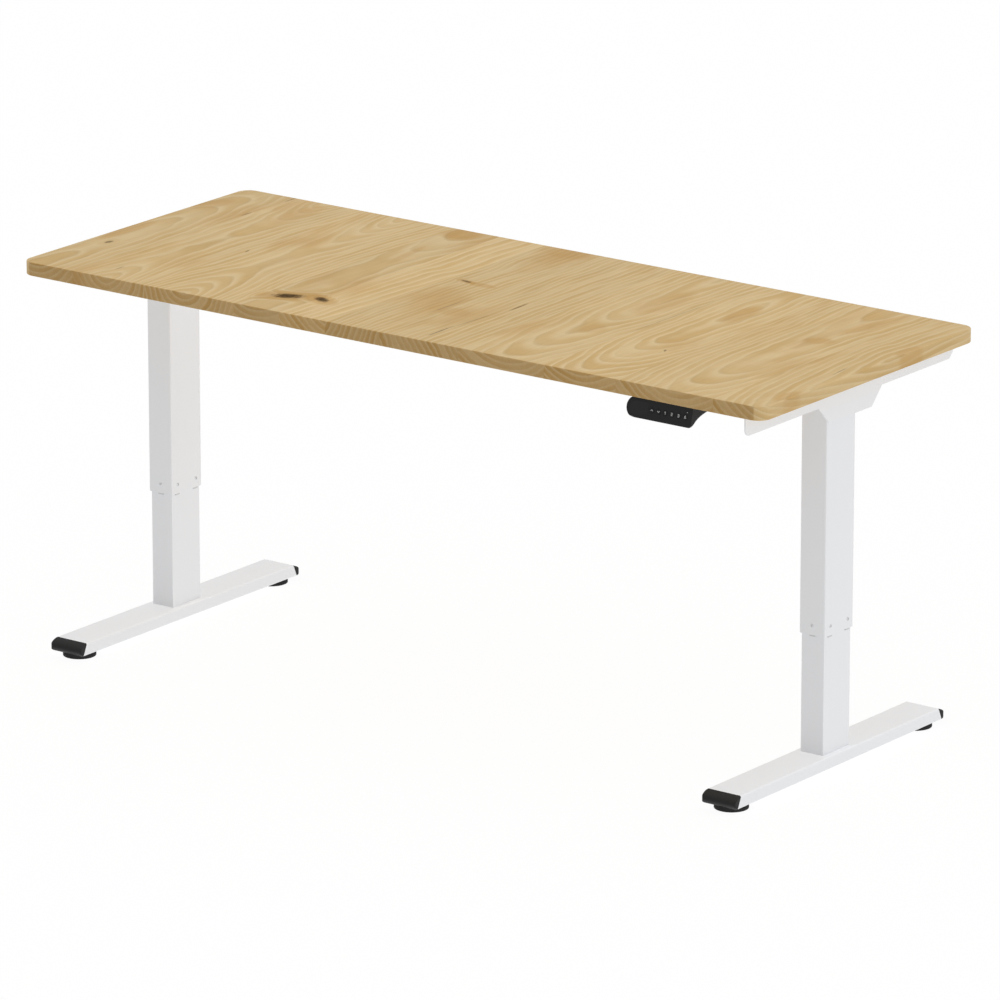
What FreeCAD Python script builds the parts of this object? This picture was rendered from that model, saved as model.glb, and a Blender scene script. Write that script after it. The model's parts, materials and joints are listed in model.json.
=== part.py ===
import FreeCAD, Part
import math
import os

V = FreeCAD.Vector

# Electric height adjustable desk, millimetres. Origin on the floor under the middle of the desktop,
# +X along the length to the user's right, +Y to the back, +Z up. Drawn with both columns at rest height.

# ---- desktop
TOP_LENGTH = 1600.0
TOP_DEPTH = 640.0
TOP_THICKNESS = 25.0
TOP_CORNER_RADIUS = 25.0
TOP_ARRIS = 1.5
TOP_UNDERSIDE = 700.0          # height of the underside at rest

# ---- columns: square-shouldered steel tubes, the upper one slides over the lower one
LEG_INSET = 86.0               # column centre from the end of the desktop
OUTER_WIDTH = 53.0             # along X
OUTER_DEPTH = 85.0             # along Y
TUBE_WALL = 1.5
OUTER_BOTTOM = 246.0           # lower end of the upper tube at rest
SLIDE_GAP = 1.5                # between the two tubes, filled by the glides
GLIDE_CLEARANCE = 0.05         # running fit of a glide on the other tube
TUBE_CORNER = 2.8
GLIDE_LENGTH = 60.0
GLIDE_LIP = 2.5
GLIDE_LIP_WIDTH = 11.0
GLIDE_SCREW_HEIGHT = 16.5      # above the lower end of the upper tube
GLIDE_SCREW_SPREAD = 26.0      # of the two screws on each wide face, from the middle
REST_GAP = 26.0                # between the lower tube's top and the head plate at rest
TOP_GUIDE_LENGTH = 33.0

# ---- foot bars
FOOT_WIDTH = 70.0
FOOT_HEIGHT = 22.5
FOOT_BOTTOM = 10.0
FOOT_WALL = 2.0
FOOT_TOP_HALF_LENGTH = 298.0
FOOT_SLANT = 10.0              # how much longer each end is at the bottom than at the top
CAP_PLUG = 9.0
CAP_CORNER = 4.0
CAP_NOSE = ((8.0, 0.14), (15.0, 0.34), (18.0, 0.58), (15.5, 0.84))   # reach, share of the height down
CAP_FOOT = 1.0                 # cap's lower edge beyond the bar's
FOOT_CORNER = 3.2

# ---- levelling pads
PAD_INSET = 21.0               # pad centre from the end of the foot's top face
PAD_RADIUS = 30.0
PAD_EDGE_HEIGHT = 5.0
PAD_HEIGHT = 9.0
PAD_SHOULDER_RADIUS = 22.0
STUD_RADIUS = 4.0
STUD_TOP_GAP = 1.5             # between a stud and the inside of the foot's top wall
STUD_SEAT = 3.0
THREAD_CLEARANCE = 0.05
WELD_NUT_RADIUS = 8.0
WELD_NUT_HEIGHT = 8.0

# ---- cross beam
SHEET = 2.5                    # brackets and middle channel
END_SHEET = 2.0                # end channels
BEAM_HALF_WIDTH = 45.0         # outside of the end channels
BEAM_LIP = 14.0
BEAM_END_LENGTH = 456.5
BEAM_OVERLAP = 100.0           # of an end channel inside the middle one

# ---- side brackets
BRACKET_OFFSET = 18.5          # outer face of the upright plate from the side of the column
BRACKET_HALF_LENGTH = 309.5
LEFT_BRACKET_HALF_LENGTH = 222.0
BRACKET_FLANGE = 44.0
BRACKET_DROP = 34.0
BRACKET_CORNER = 11.0
GUSSET_DROP = 66.0
GUSSET_TOP_HALF = 94.0
GUSSET_BOTTOM_HALF = 63.5

# ---- column head plate
HEAD_PLATE_THICKNESS = 4.0
HEAD_PLATE_INNER_RIM = 23.5    # beyond the tube, towards the middle of the desk
HEAD_PLATE_OUTER_RIM = 13.5
HEAD_PLATE_SIDE_RIM = 2.5
HEAD_HOLE_RADIUS = 12.0

# ---- drive
SPINDLE_RADIUS = 8.0
SPINDLE_BOTTOM = 300.0
SPINDLE_CLEARANCE = 0.05
SPINDLE_SHOULDER_GAP = 0.3
JOURNAL_RADIUS = 6.0
JOURNAL_END = 4.0              # of the journal over the worm wheel
BEARING_RADIUS = 15.0
BEARING_HEIGHT = 7.0
NUT_HEIGHT = 25.0
HOUSING_HALF_X = 26.0
HOUSING_WALL = 2.1
HOUSING_COVER = 2.0
HOUSING_EAR_HEIGHT = 4.0
HOUSING_EAR_GAP = 0.5          # between an ear and the side of the end channel
WHEEL_RADIUS = 14.0
WHEEL_HEIGHT = 14.0
WHEEL_ROOM = 2.0
WORM_RADIUS = 5.0
WORM_LENGTH = 20.0
WORM_GAP = 0.4
SHAFT_RADIUS = 4.0
SHAFT_CLEARANCE = 0.05
TUNNEL_RADIUS = 6.5
WORM_END_ROOM = 4.0
SHAFT_END_WALL = 3.0
SHAFT_END_GAP = 1.0
MOTOR_RADIUS = 18.0
MOTOR_FLOOR_GAP = 2.0          # under the motor, above the end channel's floor
MOTOR_TOP_GAP = 2.5            # over the motor, below the middle channel
MOTOR_EAR_GAP = 0.1            # least room between the motor and the housing's ears
MOTOR_LENGTH = 90.0
MOTOR_BORE = 10.3
MOTOR_END_WALL = 6.0
ROTOR_RADIUS = 9.5
ROTOR_LENGTH = 42.0
ROTOR_END_GAP = 6.0

# ---- bolts and screws: thread radius, head radius, head height, length under the head
BOLT_RADIUS = 3.0
BOLT_HEAD_RADIUS = 5.0
BOLT_HEAD_HEIGHT = 3.5
BOLT_HOLE = 3.3
COLUMN_BOLT_EDGE = 9.0         # from the side of the end channel
COLUMN_BOLT_INNER = 15.5       # from the side of the tube, towards the middle of the desk
COLUMN_BOLT_OUTER = 6.5
FOOT_BOLT_RADIUS = 4.0
FOOT_BOLT_HEAD = 6.5
FOOT_BOLT_Y = 22.0
FOOT_BLOCK = 10.0
FOOT_BOLT_HOLE = 4.4
FOOT_DRIVER_HOLE = 8.5
WOOD_SCREW_RADIUS = 2.0
WOOD_SCREW_HEAD = 4.0
WOOD_SCREW_LENGTH = 22.0
WOOD_SCREW_HEAD_HEIGHT = 2.5
WOOD_SCREW_HOLE = 2.3
WOOD_SCREW_TIP = 4.0
WOOD_SCREW_POINT = 0.4         # radius of the tip
BRACKET_SCREW_YS = (-280.0, -200.0, -120.0, 120.0, 200.0, 280.0)
BEAM_SCREW_X = 220.0
BEAM_SCREW_Y = 25.0
BOX_SCREW_INSET = 15.0
BRACKET_BOLT_INNER = 35.0      # from the outside of the bracket
BRACKET_BOLT_OUTER = 13.0
BEAM_BOLT_INSET = 20.0         # from the ends of the overlap
COVER_SCREW_RADIUS = 1.5
COVER_SCREW_HEAD = 2.8
COVER_SCREW_HEAD_HEIGHT = 1.8
COVER_SCREW_LENGTH = 9.0
COVER_SCREW_HOLE = 1.7
COVER_SCREW_EDGE = 4.0         # from the side of a gearbox cover
GLIDE_SCREW_RADIUS = 2.0
GLIDE_SCREW_HEAD = 2.9
GLIDE_SCREW_HEAD_HEIGHT = 1.2

# ---- control box
BOX_HALF_LENGTH = 130.0
BOX_FRONT = 80.0
BOX_DEPTH = 90.0
BOX_HEIGHT = 34.0
BOX_WALL = 2.0
BOX_EAR = 14.0
BOX_POST = 4.0
BOX_POST_INSET = 8.0
BOARD_THICKNESS = 1.6
BOX_BOARD_GAP = 1.0            # round the board and over it
BOX_BOARD_BACK = 22.0          # from the case's back to the board's back edge
BOX_COMPONENTS = (             # x0, x1, then y0 and y1 from the case's front, then the drop
    (-95.0, -55.0, 12.0, 52.0, 24.0),
    (-20.0, 50.0, 16.0, 46.0, 18.0),
)
CAPACITOR_XS = (68.0, 88.0)
CAPACITOR_Y = 30.0             # from the case's front
CAPACITOR_RADIUS = 7.0
CAPACITOR_DROP = 22.0
SPACER_X = 105.0
SPACER_YS = (8.0, 62.0)        # from the case's front
SPACER_RADIUS = 3.0
SOCKET_Z = 16.0                # socket centres below the desktop
INLET_X = -85.0
INLET_SIZE = (28.0, 21.0, 18.0)
INLET_RECESS = (24.0, 16.5, 14.0)
INLET_PIN = (1.8, 4.0, 8.0)
INLET_PIN_PLACES = ((-7.0, -2.0), (0.0, 2.0), (7.0, -2.0))
MOTOR_SOCKET_X = (-25.0, 15.0)
MOTOR_SOCKET_SIZE = (18.0, 14.0, 14.0)
MOTOR_SOCKET_RECESS = (13.0, 9.0, 10.0)
HANDSET_SOCKET_X = 60.0
HANDSET_SOCKET_SIZE = (15.0, 14.0, 14.0)
HANDSET_SOCKET_RECESS = (11.0, 8.0, 10.0)
SOCKET_FLANGE = 1.5
SOCKET_FLANGE_RIM = 2.0

# ---- handset: its face leans back at the top
HANDSET_INSET = 146.0          # from the right end of the desktop
HANDSET_LENGTH = 134.5
HANDSET_SETBACK = 0.5          # lower edge of the face behind the front edge of the desktop
HANDSET_TILT = 12.4            # degrees
HANDSET_FACE_HEIGHT = 37.4     # along the leaning face
HANDSET_LEFT_RADIUS = 18.0
HANDSET_RIGHT_RADIUS = 8.0
HANDSET_REACH = 70.0
HANDSET_CHIN = 3.5             # softened lower edge, up the face
HANDSET_UNDER_START = 4.0      # where the curve underneath starts, behind the lower edge
HANDSET_UNDER_CURVE = ((14.5, 26.5), (38.5, 18.0), (67.0, 12.5))   # behind the lower edge, below the desktop
HANDSET_BACK_DROP = 9.0
FACE_MARGIN = 1.6
FACE_THICKNESS = 2.0
CAVITY_LEFT = 11.0
CAVITY_RIGHT = 7.0
CAVITY_ROOF = 4.0
CAVITY_BACK = 29.0
CAVITY_UNDER = ((10.0, 27.5), (19.0, 22.0), (29.0, 18.5))          # behind the lower edge, below the desktop
DISPLAY_MARGIN = 7.0
DISPLAY_LENGTH = 37.0
DISPLAY_SWEEP = 14.0           # radius of the lens's lower right corner
DISPLAY_THICKNESS = 1.0
BUTTON_COUNT = 6
BUTTON_FIRST = 52.3            # from the handset's left end
BUTTON_PITCH = 13.7
BUTTON_RISE = 18.5             # above the handset's lower edge, up the face
BUTTON_RADIUS = 4.7
BUTTON_GAP = 0.4
BUTTON_PROUD = 0.3
BUTTON_FLANGE_RIM = 1.2
BUTTON_FLANGE_GAP = 0.3
BUTTON_FLANGE_THICKNESS = 1.0
BUTTON_STEM = 2.0
BUTTON_REACH = 4.5
SWITCH_GAP = 1.2
SWITCH_SIZE = 4.0
SWITCH_HEIGHT = 1.3
HANDSET_BOARD_LEFT = 12.5
HANDSET_BOARD_RIGHT = 9.0
HANDSET_BOARD_RISE = (13.5, 31.5)
HANDSET_POSTS = (14.0, 113.5)  # from the handset's left end
HANDSET_POST_WIDTH = 5.0
HANDSET_POST_RISE = (26.5, 30.5)
HANDSET_POST_END = 25.5        # behind the face
HANDSET_SCREW_INSET = 22.0
HANDSET_SCREW_BACK = 57.5
HANDSET_SCREW_SEAT = 10.0
HANDSET_SCREW_WELL = 4.5

# ---- sizes that follow from the ones above
TOP_SURFACE = TOP_UNDERSIDE + TOP_THICKNESS
LEG_X = TOP_LENGTH / 2 - LEG_INSET
FOOT_TOP = FOOT_BOTTOM + FOOT_HEIGHT
PAD_Y = FOOT_TOP_HALF_LENGTH - PAD_INSET
STUD_TOP = FOOT_TOP - FOOT_WALL - STUD_TOP_GAP
BRACKET_PLANE = LEG_X + OUTER_WIDTH / 2 + BRACKET_OFFSET
INNER_WIDTH = OUTER_WIDTH - 2 * (TUBE_WALL + SLIDE_GAP)
INNER_DEPTH = OUTER_DEPTH - 2 * (TUBE_WALL + SLIDE_GAP)
BORE_WIDTH = INNER_WIDTH - 2 * TUBE_WALL
BORE_DEPTH = INNER_DEPTH - 2 * TUBE_WALL
INNER_CORNER = TUBE_CORNER - TUBE_WALL
BORE_CORNER = INNER_CORNER / 2
BEAM_TOP = TOP_UNDERSIDE - SHEET
DRIVE_Z = BEAM_TOP - MOTOR_TOP_GAP - MOTOR_RADIUS
DRIVE_FLOOR = DRIVE_Z - MOTOR_RADIUS - MOTOR_FLOOR_GAP
BEAM_BOTTOM = DRIVE_FLOOR - END_SHEET
MIDDLE_LOWER_EDGE = BEAM_BOTTOM + SHEET
BRACKET_INNER = BRACKET_PLANE - SHEET
BEAM_END_INNER_X = BRACKET_INNER - BEAM_END_LENGTH
BEAM_MIDDLE_HALF = BEAM_END_INNER_X + BEAM_OVERLAP
HEAD_PLATE_BOTTOM = BEAM_BOTTOM - HEAD_PLATE_THICKNESS
HEAD_PLATE_INNER = OUTER_WIDTH / 2 + HEAD_PLATE_INNER_RIM
HEAD_PLATE_OUTER = OUTER_WIDTH / 2 + HEAD_PLATE_OUTER_RIM
HEAD_PLATE_HALF_DEPTH = OUTER_DEPTH / 2 + HEAD_PLATE_SIDE_RIM
INNER_TOP = HEAD_PLATE_BOTTOM - REST_GAP
WORM_Y = -(WHEEL_RADIUS + WORM_GAP + WORM_RADIUS)
HOUSING_HALF_Y = TUNNEL_RADIUS + HOUSING_WALL - WORM_Y
HOUSING_TOP = DRIVE_FLOOR + 2 * MOTOR_RADIUS
HOUSING_EAR_HALF = BEAM_HALF_WIDTH - END_SHEET - HOUSING_EAR_GAP
CAVITY_RADIUS = WHEEL_RADIUS + WHEEL_ROOM
HANDSET_LEAN = math.radians(HANDSET_TILT)
HANDSET_BOTTOM = TOP_UNDERSIDE - HANDSET_FACE_HEIGHT * math.cos(HANDSET_LEAN)
HANDSET_RIGHT = TOP_LENGTH / 2 - HANDSET_INSET
HANDSET_LEFT = HANDSET_RIGHT - HANDSET_LENGTH
HANDSET_FRONT = HANDSET_SETBACK - TOP_DEPTH / 2
HANDSET_SCREW_XS = (HANDSET_LEFT + HANDSET_SCREW_INSET, HANDSET_RIGHT - HANDSET_SCREW_INSET)
DISPLAY_LEFT = HANDSET_LEFT + DISPLAY_MARGIN
DISPLAY_RIGHT = DISPLAY_LEFT + DISPLAY_LENGTH
BUTTON_FLANGE = BUTTON_RADIUS + BUTTON_FLANGE_RIM
BUTTON_Z = HANDSET_BOTTOM + BUTTON_RISE
BOX_BOTTOM = TOP_UNDERSIDE - BOX_HEIGHT
BOX_BACK = BOX_FRONT + BOX_DEPTH
COLUMN_BOLT_Y = BEAM_HALF_WIDTH - COLUMN_BOLT_EDGE
COLUMN_BOLT_XS = (LEG_X - OUTER_WIDTH / 2 - COLUMN_BOLT_INNER, LEG_X + OUTER_WIDTH / 2 + COLUMN_BOLT_OUTER)


def box(x0, x1, y0, y1, z0, z1):
    """A block between opposite corners."""
    return Part.makeBox(x1 - x0, y1 - y0, z1 - z0, V(x0, y0, z0))


def rod(radius, x, y, z0, z1):
    """An upright cylinder."""
    return Part.makeCylinder(radius, z1 - z0, V(x, y, z0), V(0, 0, 1))


def rod_x(radius, y, z, x0, x1):
    """A cylinder lying along X."""
    return Part.makeCylinder(radius, x1 - x0, V(x0, y, z), V(1, 0, 0))


def rod_y(radius, x, z, y0, y1):
    """A cylinder lying along Y."""
    return Part.makeCylinder(radius, y1 - y0, V(x, y0, z), V(0, 1, 0))


def bar(x, width, depth, corner, z0, z1):
    """An upright bar of rounded rectangular section, centred on (x, 0)."""
    body = box(x - width / 2, x + width / 2, -depth / 2, depth / 2, z0, z1)
    edges = [e for e in body.Edges if abs(e.tangentAt(e.FirstParameter).z) > 0.99]
    return body.makeFillet(corner, edges)


def prism(points, thickness_vector):
    """A straight extrusion of a closed outline of points."""
    outline = Part.makePolygon(points + [points[0]])
    return Part.Face(outline).extrude(thickness_vector)


def fuse(shapes):
    """One solid out of several overlapping or touching ones."""
    return shapes[0].multiFuse(shapes[1:]).removeSplitter()


def mirrored(shape):
    """The same piece on the other side of the desk."""
    return shape.mirror(V(0, 0, 0), V(1, 0, 0))


def save(name, shape):
    """Write one piece."""
    shape.exportStep("parts/" + name + ".step")


def save_pair(name, right_shape):
    """Write a piece of the right-hand column and its twin on the left."""
    save(name + "_right", right_shape)
    save(name + "_left", mirrored(right_shape))


def bolt_up(x, y, seat, length):
    """A frame bolt with its head under a seat and its thread pointing up."""
    head = rod(BOLT_HEAD_RADIUS, x, y, seat - BOLT_HEAD_HEIGHT, seat)
    return head.fuse(rod(BOLT_RADIUS, x, y, seat - 0.5, seat + length))


def wood_screw(x, y, seat):
    """A pan-head wood screw driven up into the desktop."""
    head = rod(WOOD_SCREW_HEAD, x, y, seat - WOOD_SCREW_HEAD_HEIGHT, seat)
    tip_base = seat + WOOD_SCREW_LENGTH - WOOD_SCREW_TIP
    shank = rod(WOOD_SCREW_RADIUS, x, y, seat - 0.5, tip_base)
    tip = Part.makeCone(WOOD_SCREW_RADIUS, WOOD_SCREW_POINT, WOOD_SCREW_TIP, V(x, y, tip_base), V(0, 0, 1))
    return fuse([head, shank, tip])


def wood_screw_places():
    """Where each wood screw goes: x, y and the height of the seat under its head."""
    flange_x = BRACKET_INNER - 0.5 * BRACKET_FLANGE
    places = []
    for y in BRACKET_SCREW_YS:
        places.append((flange_x, y, BEAM_TOP))
        if abs(y) < LEFT_BRACKET_HALF_LENGTH:
            places.append((-flange_x, y, BEAM_TOP))
    for x in (-BEAM_SCREW_X, 0.0, BEAM_SCREW_X):
        for y in (-BEAM_SCREW_Y, BEAM_SCREW_Y):
            places.append((x, y, BEAM_TOP))
    ear_x = BOX_HALF_LENGTH + BOX_EAR / 2
    for x in (-ear_x, ear_x):
        for y in (BOX_FRONT + BOX_SCREW_INSET, BOX_BACK - BOX_SCREW_INSET):
            places.append((x, y, TOP_UNDERSIDE - BOX_WALL))
    for x in HANDSET_SCREW_XS:
        places.append((x, HANDSET_FRONT + HANDSET_SCREW_BACK, TOP_UNDERSIDE - HANDSET_SCREW_SEAT))
    return places


def screw_holes(radius, z0, z1):
    """Upright holes at every wood screw."""
    return [rod(radius, x, y, z0, z1) for x, y, seat in wood_screw_places()]


def make_desktop():
    """Solid wood top with rounded corners, a small arris and pilot holes for the screws."""
    half = TOP_LENGTH / 2
    deep = TOP_DEPTH / 2
    body = box(-half, half, -deep, deep, TOP_UNDERSIDE, TOP_SURFACE)
    uprights = [e for e in body.Edges if abs(e.tangentAt(e.FirstParameter).z) > 0.99]
    body = body.makeFillet(TOP_CORNER_RADIUS, uprights)
    rims = [e for e in body.Edges if e.BoundBox.ZLength < 0.01]
    body = body.makeChamfer(TOP_ARRIS, rims)
    pilots = []
    for x, y, seat in wood_screw_places():
        pilots.append(rod(WOOD_SCREW_RADIUS, x, y, TOP_UNDERSIDE - 1.0, seat + WOOD_SCREW_LENGTH))
    return body.cut(Part.makeCompound(pilots))


def make_side_bracket(half_length):
    """Folded steel bracket: a flange under the top and an upright plate with a deep gusset."""
    lower = TOP_UNDERSIDE - BRACKET_DROP
    gusset = TOP_UNDERSIDE - GUSSET_DROP
    outline = [
        V(BRACKET_INNER, -half_length, TOP_UNDERSIDE),
        V(BRACKET_INNER, -half_length, lower),
        V(BRACKET_INNER, -GUSSET_TOP_HALF, lower),
        V(BRACKET_INNER, -GUSSET_BOTTOM_HALF, gusset),
        V(BRACKET_INNER, GUSSET_BOTTOM_HALF, gusset),
        V(BRACKET_INNER, GUSSET_TOP_HALF, lower),
        V(BRACKET_INNER, half_length - BRACKET_CORNER, lower),
        V(BRACKET_INNER, half_length, lower + BRACKET_CORNER),
        V(BRACKET_INNER, half_length, TOP_UNDERSIDE),
    ]
    plate = prism(outline, V(SHEET, 0, 0))
    front_corner = []
    for e in plate.Edges:
        middle = e.BoundBox.Center
        at_corner = abs(middle.y + half_length) < 0.1 and abs(middle.z - lower) < 0.1
        if at_corner and e.BoundBox.XLength > SHEET - 0.1:
            front_corner.append(e)
    plate = plate.makeFillet(BRACKET_CORNER, front_corner)
    flange_x = BRACKET_PLANE - BRACKET_FLANGE
    flange = box(flange_x, BRACKET_PLANE, -half_length, half_length, BEAM_TOP, TOP_UNDERSIDE)
    body = plate.fuse(flange).removeSplitter()
    holes = screw_holes(WOOD_SCREW_HOLE, BEAM_TOP - 1.0, TOP_UNDERSIDE + 1.0)
    for x, y in bracket_bolt_places():
        holes.append(rod(BOLT_RADIUS, x, y, BEAM_TOP - 1.0, TOP_UNDERSIDE + 1.0))
    return body.cut(Part.makeCompound(holes))


def bracket_bolt_places():
    """Bolts that hold the right bracket on the lips of the end channel."""
    lip_middle = BEAM_HALF_WIDTH - BEAM_LIP / 2
    places = []
    for x in (BRACKET_PLANE - BRACKET_BOLT_INNER, BRACKET_PLANE - BRACKET_BOLT_OUTER):
        for y in (-lip_middle, lip_middle):
            places.append((x, y))
    return places


def beam_bolt_places():
    """Bolts that hold the right end channel in the middle channel."""
    lip_middle = BEAM_HALF_WIDTH - BEAM_LIP / 2
    places = []
    for x in (BEAM_END_INNER_X + BEAM_BOLT_INSET, BEAM_MIDDLE_HALF - BEAM_BOLT_INSET):
        for y in (-lip_middle, lip_middle):
            places.append((x, y))
    return places


def make_beam_end():
    """End channel, open upward, with lips turned inward and a closed outer end."""
    x0 = BEAM_END_INNER_X
    x1 = BRACKET_INNER
    wide = BEAM_HALF_WIDTH
    body = box(x0, x1, -wide, wide, BEAM_BOTTOM, BEAM_TOP)
    inside = wide - END_SHEET
    lip_bottom = BEAM_TOP - END_SHEET
    hollow = box(x0 - 1.0, x1 - END_SHEET, -inside, inside, DRIVE_FLOOR, lip_bottom)
    slot_half = wide - BEAM_LIP
    slot = box(x0 - 1.0, x1 - END_SHEET, -slot_half, slot_half, lip_bottom - 1.0, BEAM_TOP + 1.0)
    holes = [rod(HEAD_HOLE_RADIUS, LEG_X, 0, BEAM_BOTTOM - 1.0, DRIVE_FLOOR + 1.0)]
    for x, y in bracket_bolt_places() + beam_bolt_places():
        holes.append(rod(BOLT_HOLE, x, y, lip_bottom - 1.0, BEAM_TOP + 1.0))
    for x in COLUMN_BOLT_XS:
        for y in (-COLUMN_BOLT_Y, COLUMN_BOLT_Y):
            holes.append(rod(BOLT_HOLE, x, y, BEAM_BOTTOM - 1.0, DRIVE_FLOOR + 1.0))
    return body.cut(hollow).cut(slot).cut(Part.makeCompound(holes))


def make_beam_centre():
    """Middle channel, open downward, that wraps both end channels."""
    half = BEAM_MIDDLE_HALF
    outside = BEAM_HALF_WIDTH + SHEET
    body = box(-half, half, -outside, outside, MIDDLE_LOWER_EDGE, TOP_UNDERSIDE)
    inside = BEAM_HALF_WIDTH
    hollow = box(-half - 1.0, half + 1.0, -inside, inside, MIDDLE_LOWER_EDGE - 1.0, BEAM_TOP)
    holes = screw_holes(WOOD_SCREW_HOLE, BEAM_TOP - 1.0, TOP_UNDERSIDE + 1.0)
    for x, y in beam_bolt_places():
        holes.append(rod(BOLT_RADIUS, x, y, BEAM_TOP - 1.0, TOP_UNDERSIDE + 1.0))
        holes.append(rod(BOLT_RADIUS, -x, y, BEAM_TOP - 1.0, TOP_UNDERSIDE + 1.0))
    return body.cut(hollow).cut(Part.makeCompound(holes))


def make_frame_bolts():
    """Bolts through the lips of the end channels, heads inside the channel."""
    right = []
    for x, y in bracket_bolt_places() + beam_bolt_places():
        right.append(bolt_up(x, y, BEAM_TOP - END_SHEET, END_SHEET + SHEET))
    return Part.makeCompound(right + [mirrored(b) for b in right])


def make_outer_tube():
    """Upper tube of a column with its welded head plate."""
    body = bar(LEG_X, OUTER_WIDTH, OUTER_DEPTH, TUBE_CORNER, OUTER_BOTTOM, HEAD_PLATE_BOTTOM)
    deep = HEAD_PLATE_HALF_DEPTH
    plate_x0 = LEG_X - HEAD_PLATE_INNER
    plate_x1 = LEG_X + HEAD_PLATE_OUTER
    plate = box(plate_x0, plate_x1, -deep, deep, HEAD_PLATE_BOTTOM, BEAM_BOTTOM)
    bore = bar(LEG_X, OUTER_WIDTH - 2 * TUBE_WALL, OUTER_DEPTH - 2 * TUBE_WALL, INNER_CORNER,
               OUTER_BOTTOM - 1.0, HEAD_PLATE_BOTTOM)
    holes = [rod(HEAD_HOLE_RADIUS, LEG_X, 0, HEAD_PLATE_BOTTOM - 1.0, BEAM_BOTTOM + 1.0)]
    for x in COLUMN_BOLT_XS:
        for y in (-COLUMN_BOLT_Y, COLUMN_BOLT_Y):
            holes.append(rod(BOLT_HOLE, x, y, HEAD_PLATE_BOTTOM - 1.0, BEAM_BOTTOM + 1.0))
    for shape in glide_screw_shanks(GLIDE_SCREW_RADIUS):
        holes.append(shape)
    return fuse([body, plate]).cut(bore).cut(Part.makeCompound(holes))


def glide_screw_shanks(radius):
    """Short shanks through the upper tube's wall at each glide screw of the right column."""
    z = OUTER_BOTTOM + GLIDE_SCREW_HEIGHT
    reach = TUBE_WALL + SLIDE_GAP - 3 * GLIDE_CLEARANCE
    half_x = OUTER_WIDTH / 2
    half_y = OUTER_DEPTH / 2
    shanks = [
        rod_y(radius, LEG_X, z, -half_y, -half_y + reach),
        rod_y(radius, LEG_X, z, half_y - reach, half_y),
    ]
    for y in (-GLIDE_SCREW_SPREAD, GLIDE_SCREW_SPREAD):
        shanks.append(rod_x(radius, y, z, LEG_X + half_x - reach, LEG_X + half_x))
        shanks.append(rod_x(radius, y, z, LEG_X - half_x, LEG_X - half_x + reach))
    return shanks


def make_glide_screws():
    """Screws that pin the glides to the upper tubes, heads outside."""
    z = OUTER_BOTTOM + GLIDE_SCREW_HEIGHT
    high = GLIDE_SCREW_HEAD_HEIGHT
    half_x = OUTER_WIDTH / 2
    half_y = OUTER_DEPTH / 2
    heads = [
        rod_y(GLIDE_SCREW_HEAD, LEG_X, z, -half_y - high, -half_y),
        rod_y(GLIDE_SCREW_HEAD, LEG_X, z, half_y, half_y + high),
    ]
    for y in (-GLIDE_SCREW_SPREAD, GLIDE_SCREW_SPREAD):
        heads.append(rod_x(GLIDE_SCREW_HEAD, y, z, LEG_X + half_x, LEG_X + half_x + high))
        heads.append(rod_x(GLIDE_SCREW_HEAD, y, z, LEG_X - half_x - high, LEG_X - half_x))
    shanks = glide_screw_shanks(GLIDE_SCREW_RADIUS)
    screws = [head.fuse(shank) for head, shank in zip(heads, shanks)]
    return Part.makeCompound(screws + [mirrored(s) for s in screws])


def make_glide_sleeve():
    """Plastic glide inside the lower end of the upper tube, hooked under the tube's edge at each screw."""
    width = OUTER_WIDTH - 2 * TUBE_WALL
    depth = OUTER_DEPTH - 2 * TUBE_WALL
    top = OUTER_BOTTOM + GLIDE_LENGTH
    body = bar(LEG_X, width, depth, INNER_CORNER, OUTER_BOTTOM, top)
    lip_half = GLIDE_LIP_WIDTH / 2
    lips = [box(LEG_X - lip_half, LEG_X + lip_half, -OUTER_DEPTH / 2, OUTER_DEPTH / 2,
                OUTER_BOTTOM - GLIDE_LIP, OUTER_BOTTOM)]
    for y in (-GLIDE_SCREW_SPREAD, GLIDE_SCREW_SPREAD):
        lips.append(box(LEG_X - OUTER_WIDTH / 2, LEG_X + OUTER_WIDTH / 2, y - lip_half, y + lip_half,
                        OUTER_BOTTOM - GLIDE_LIP, OUTER_BOTTOM))
    bore = bar(LEG_X, INNER_WIDTH + 2 * GLIDE_CLEARANCE, INNER_DEPTH + 2 * GLIDE_CLEARANCE, BORE_CORNER,
               OUTER_BOTTOM - GLIDE_LIP - 1.0, top + 1.0)
    return fuse([body] + lips).cut(bore).cut(Part.makeCompound(glide_screw_shanks(GLIDE_SCREW_RADIUS)))


def make_column_bolts():
    """Bolts that clamp the head plates, the end channels and the gearbox housings together."""
    right = []
    length = HEAD_PLATE_THICKNESS + END_SHEET + HOUSING_EAR_HEIGHT
    for x in COLUMN_BOLT_XS:
        for y in (-COLUMN_BOLT_Y, COLUMN_BOLT_Y):
            right.append(bolt_up(x, y, HEAD_PLATE_BOTTOM, length))
    return Part.makeCompound(right + [mirrored(b) for b in right])


def cover_screw_places():
    """The four screws of a gearbox cover."""
    places = []
    far_x = HOUSING_HALF_X - COVER_SCREW_EDGE
    far_y = HOUSING_HALF_Y - COVER_SCREW_EDGE
    for x in (-far_x, far_x):
        for y in (-far_y, far_y):
            places.append((LEG_X + x, y))
    return places


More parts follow.
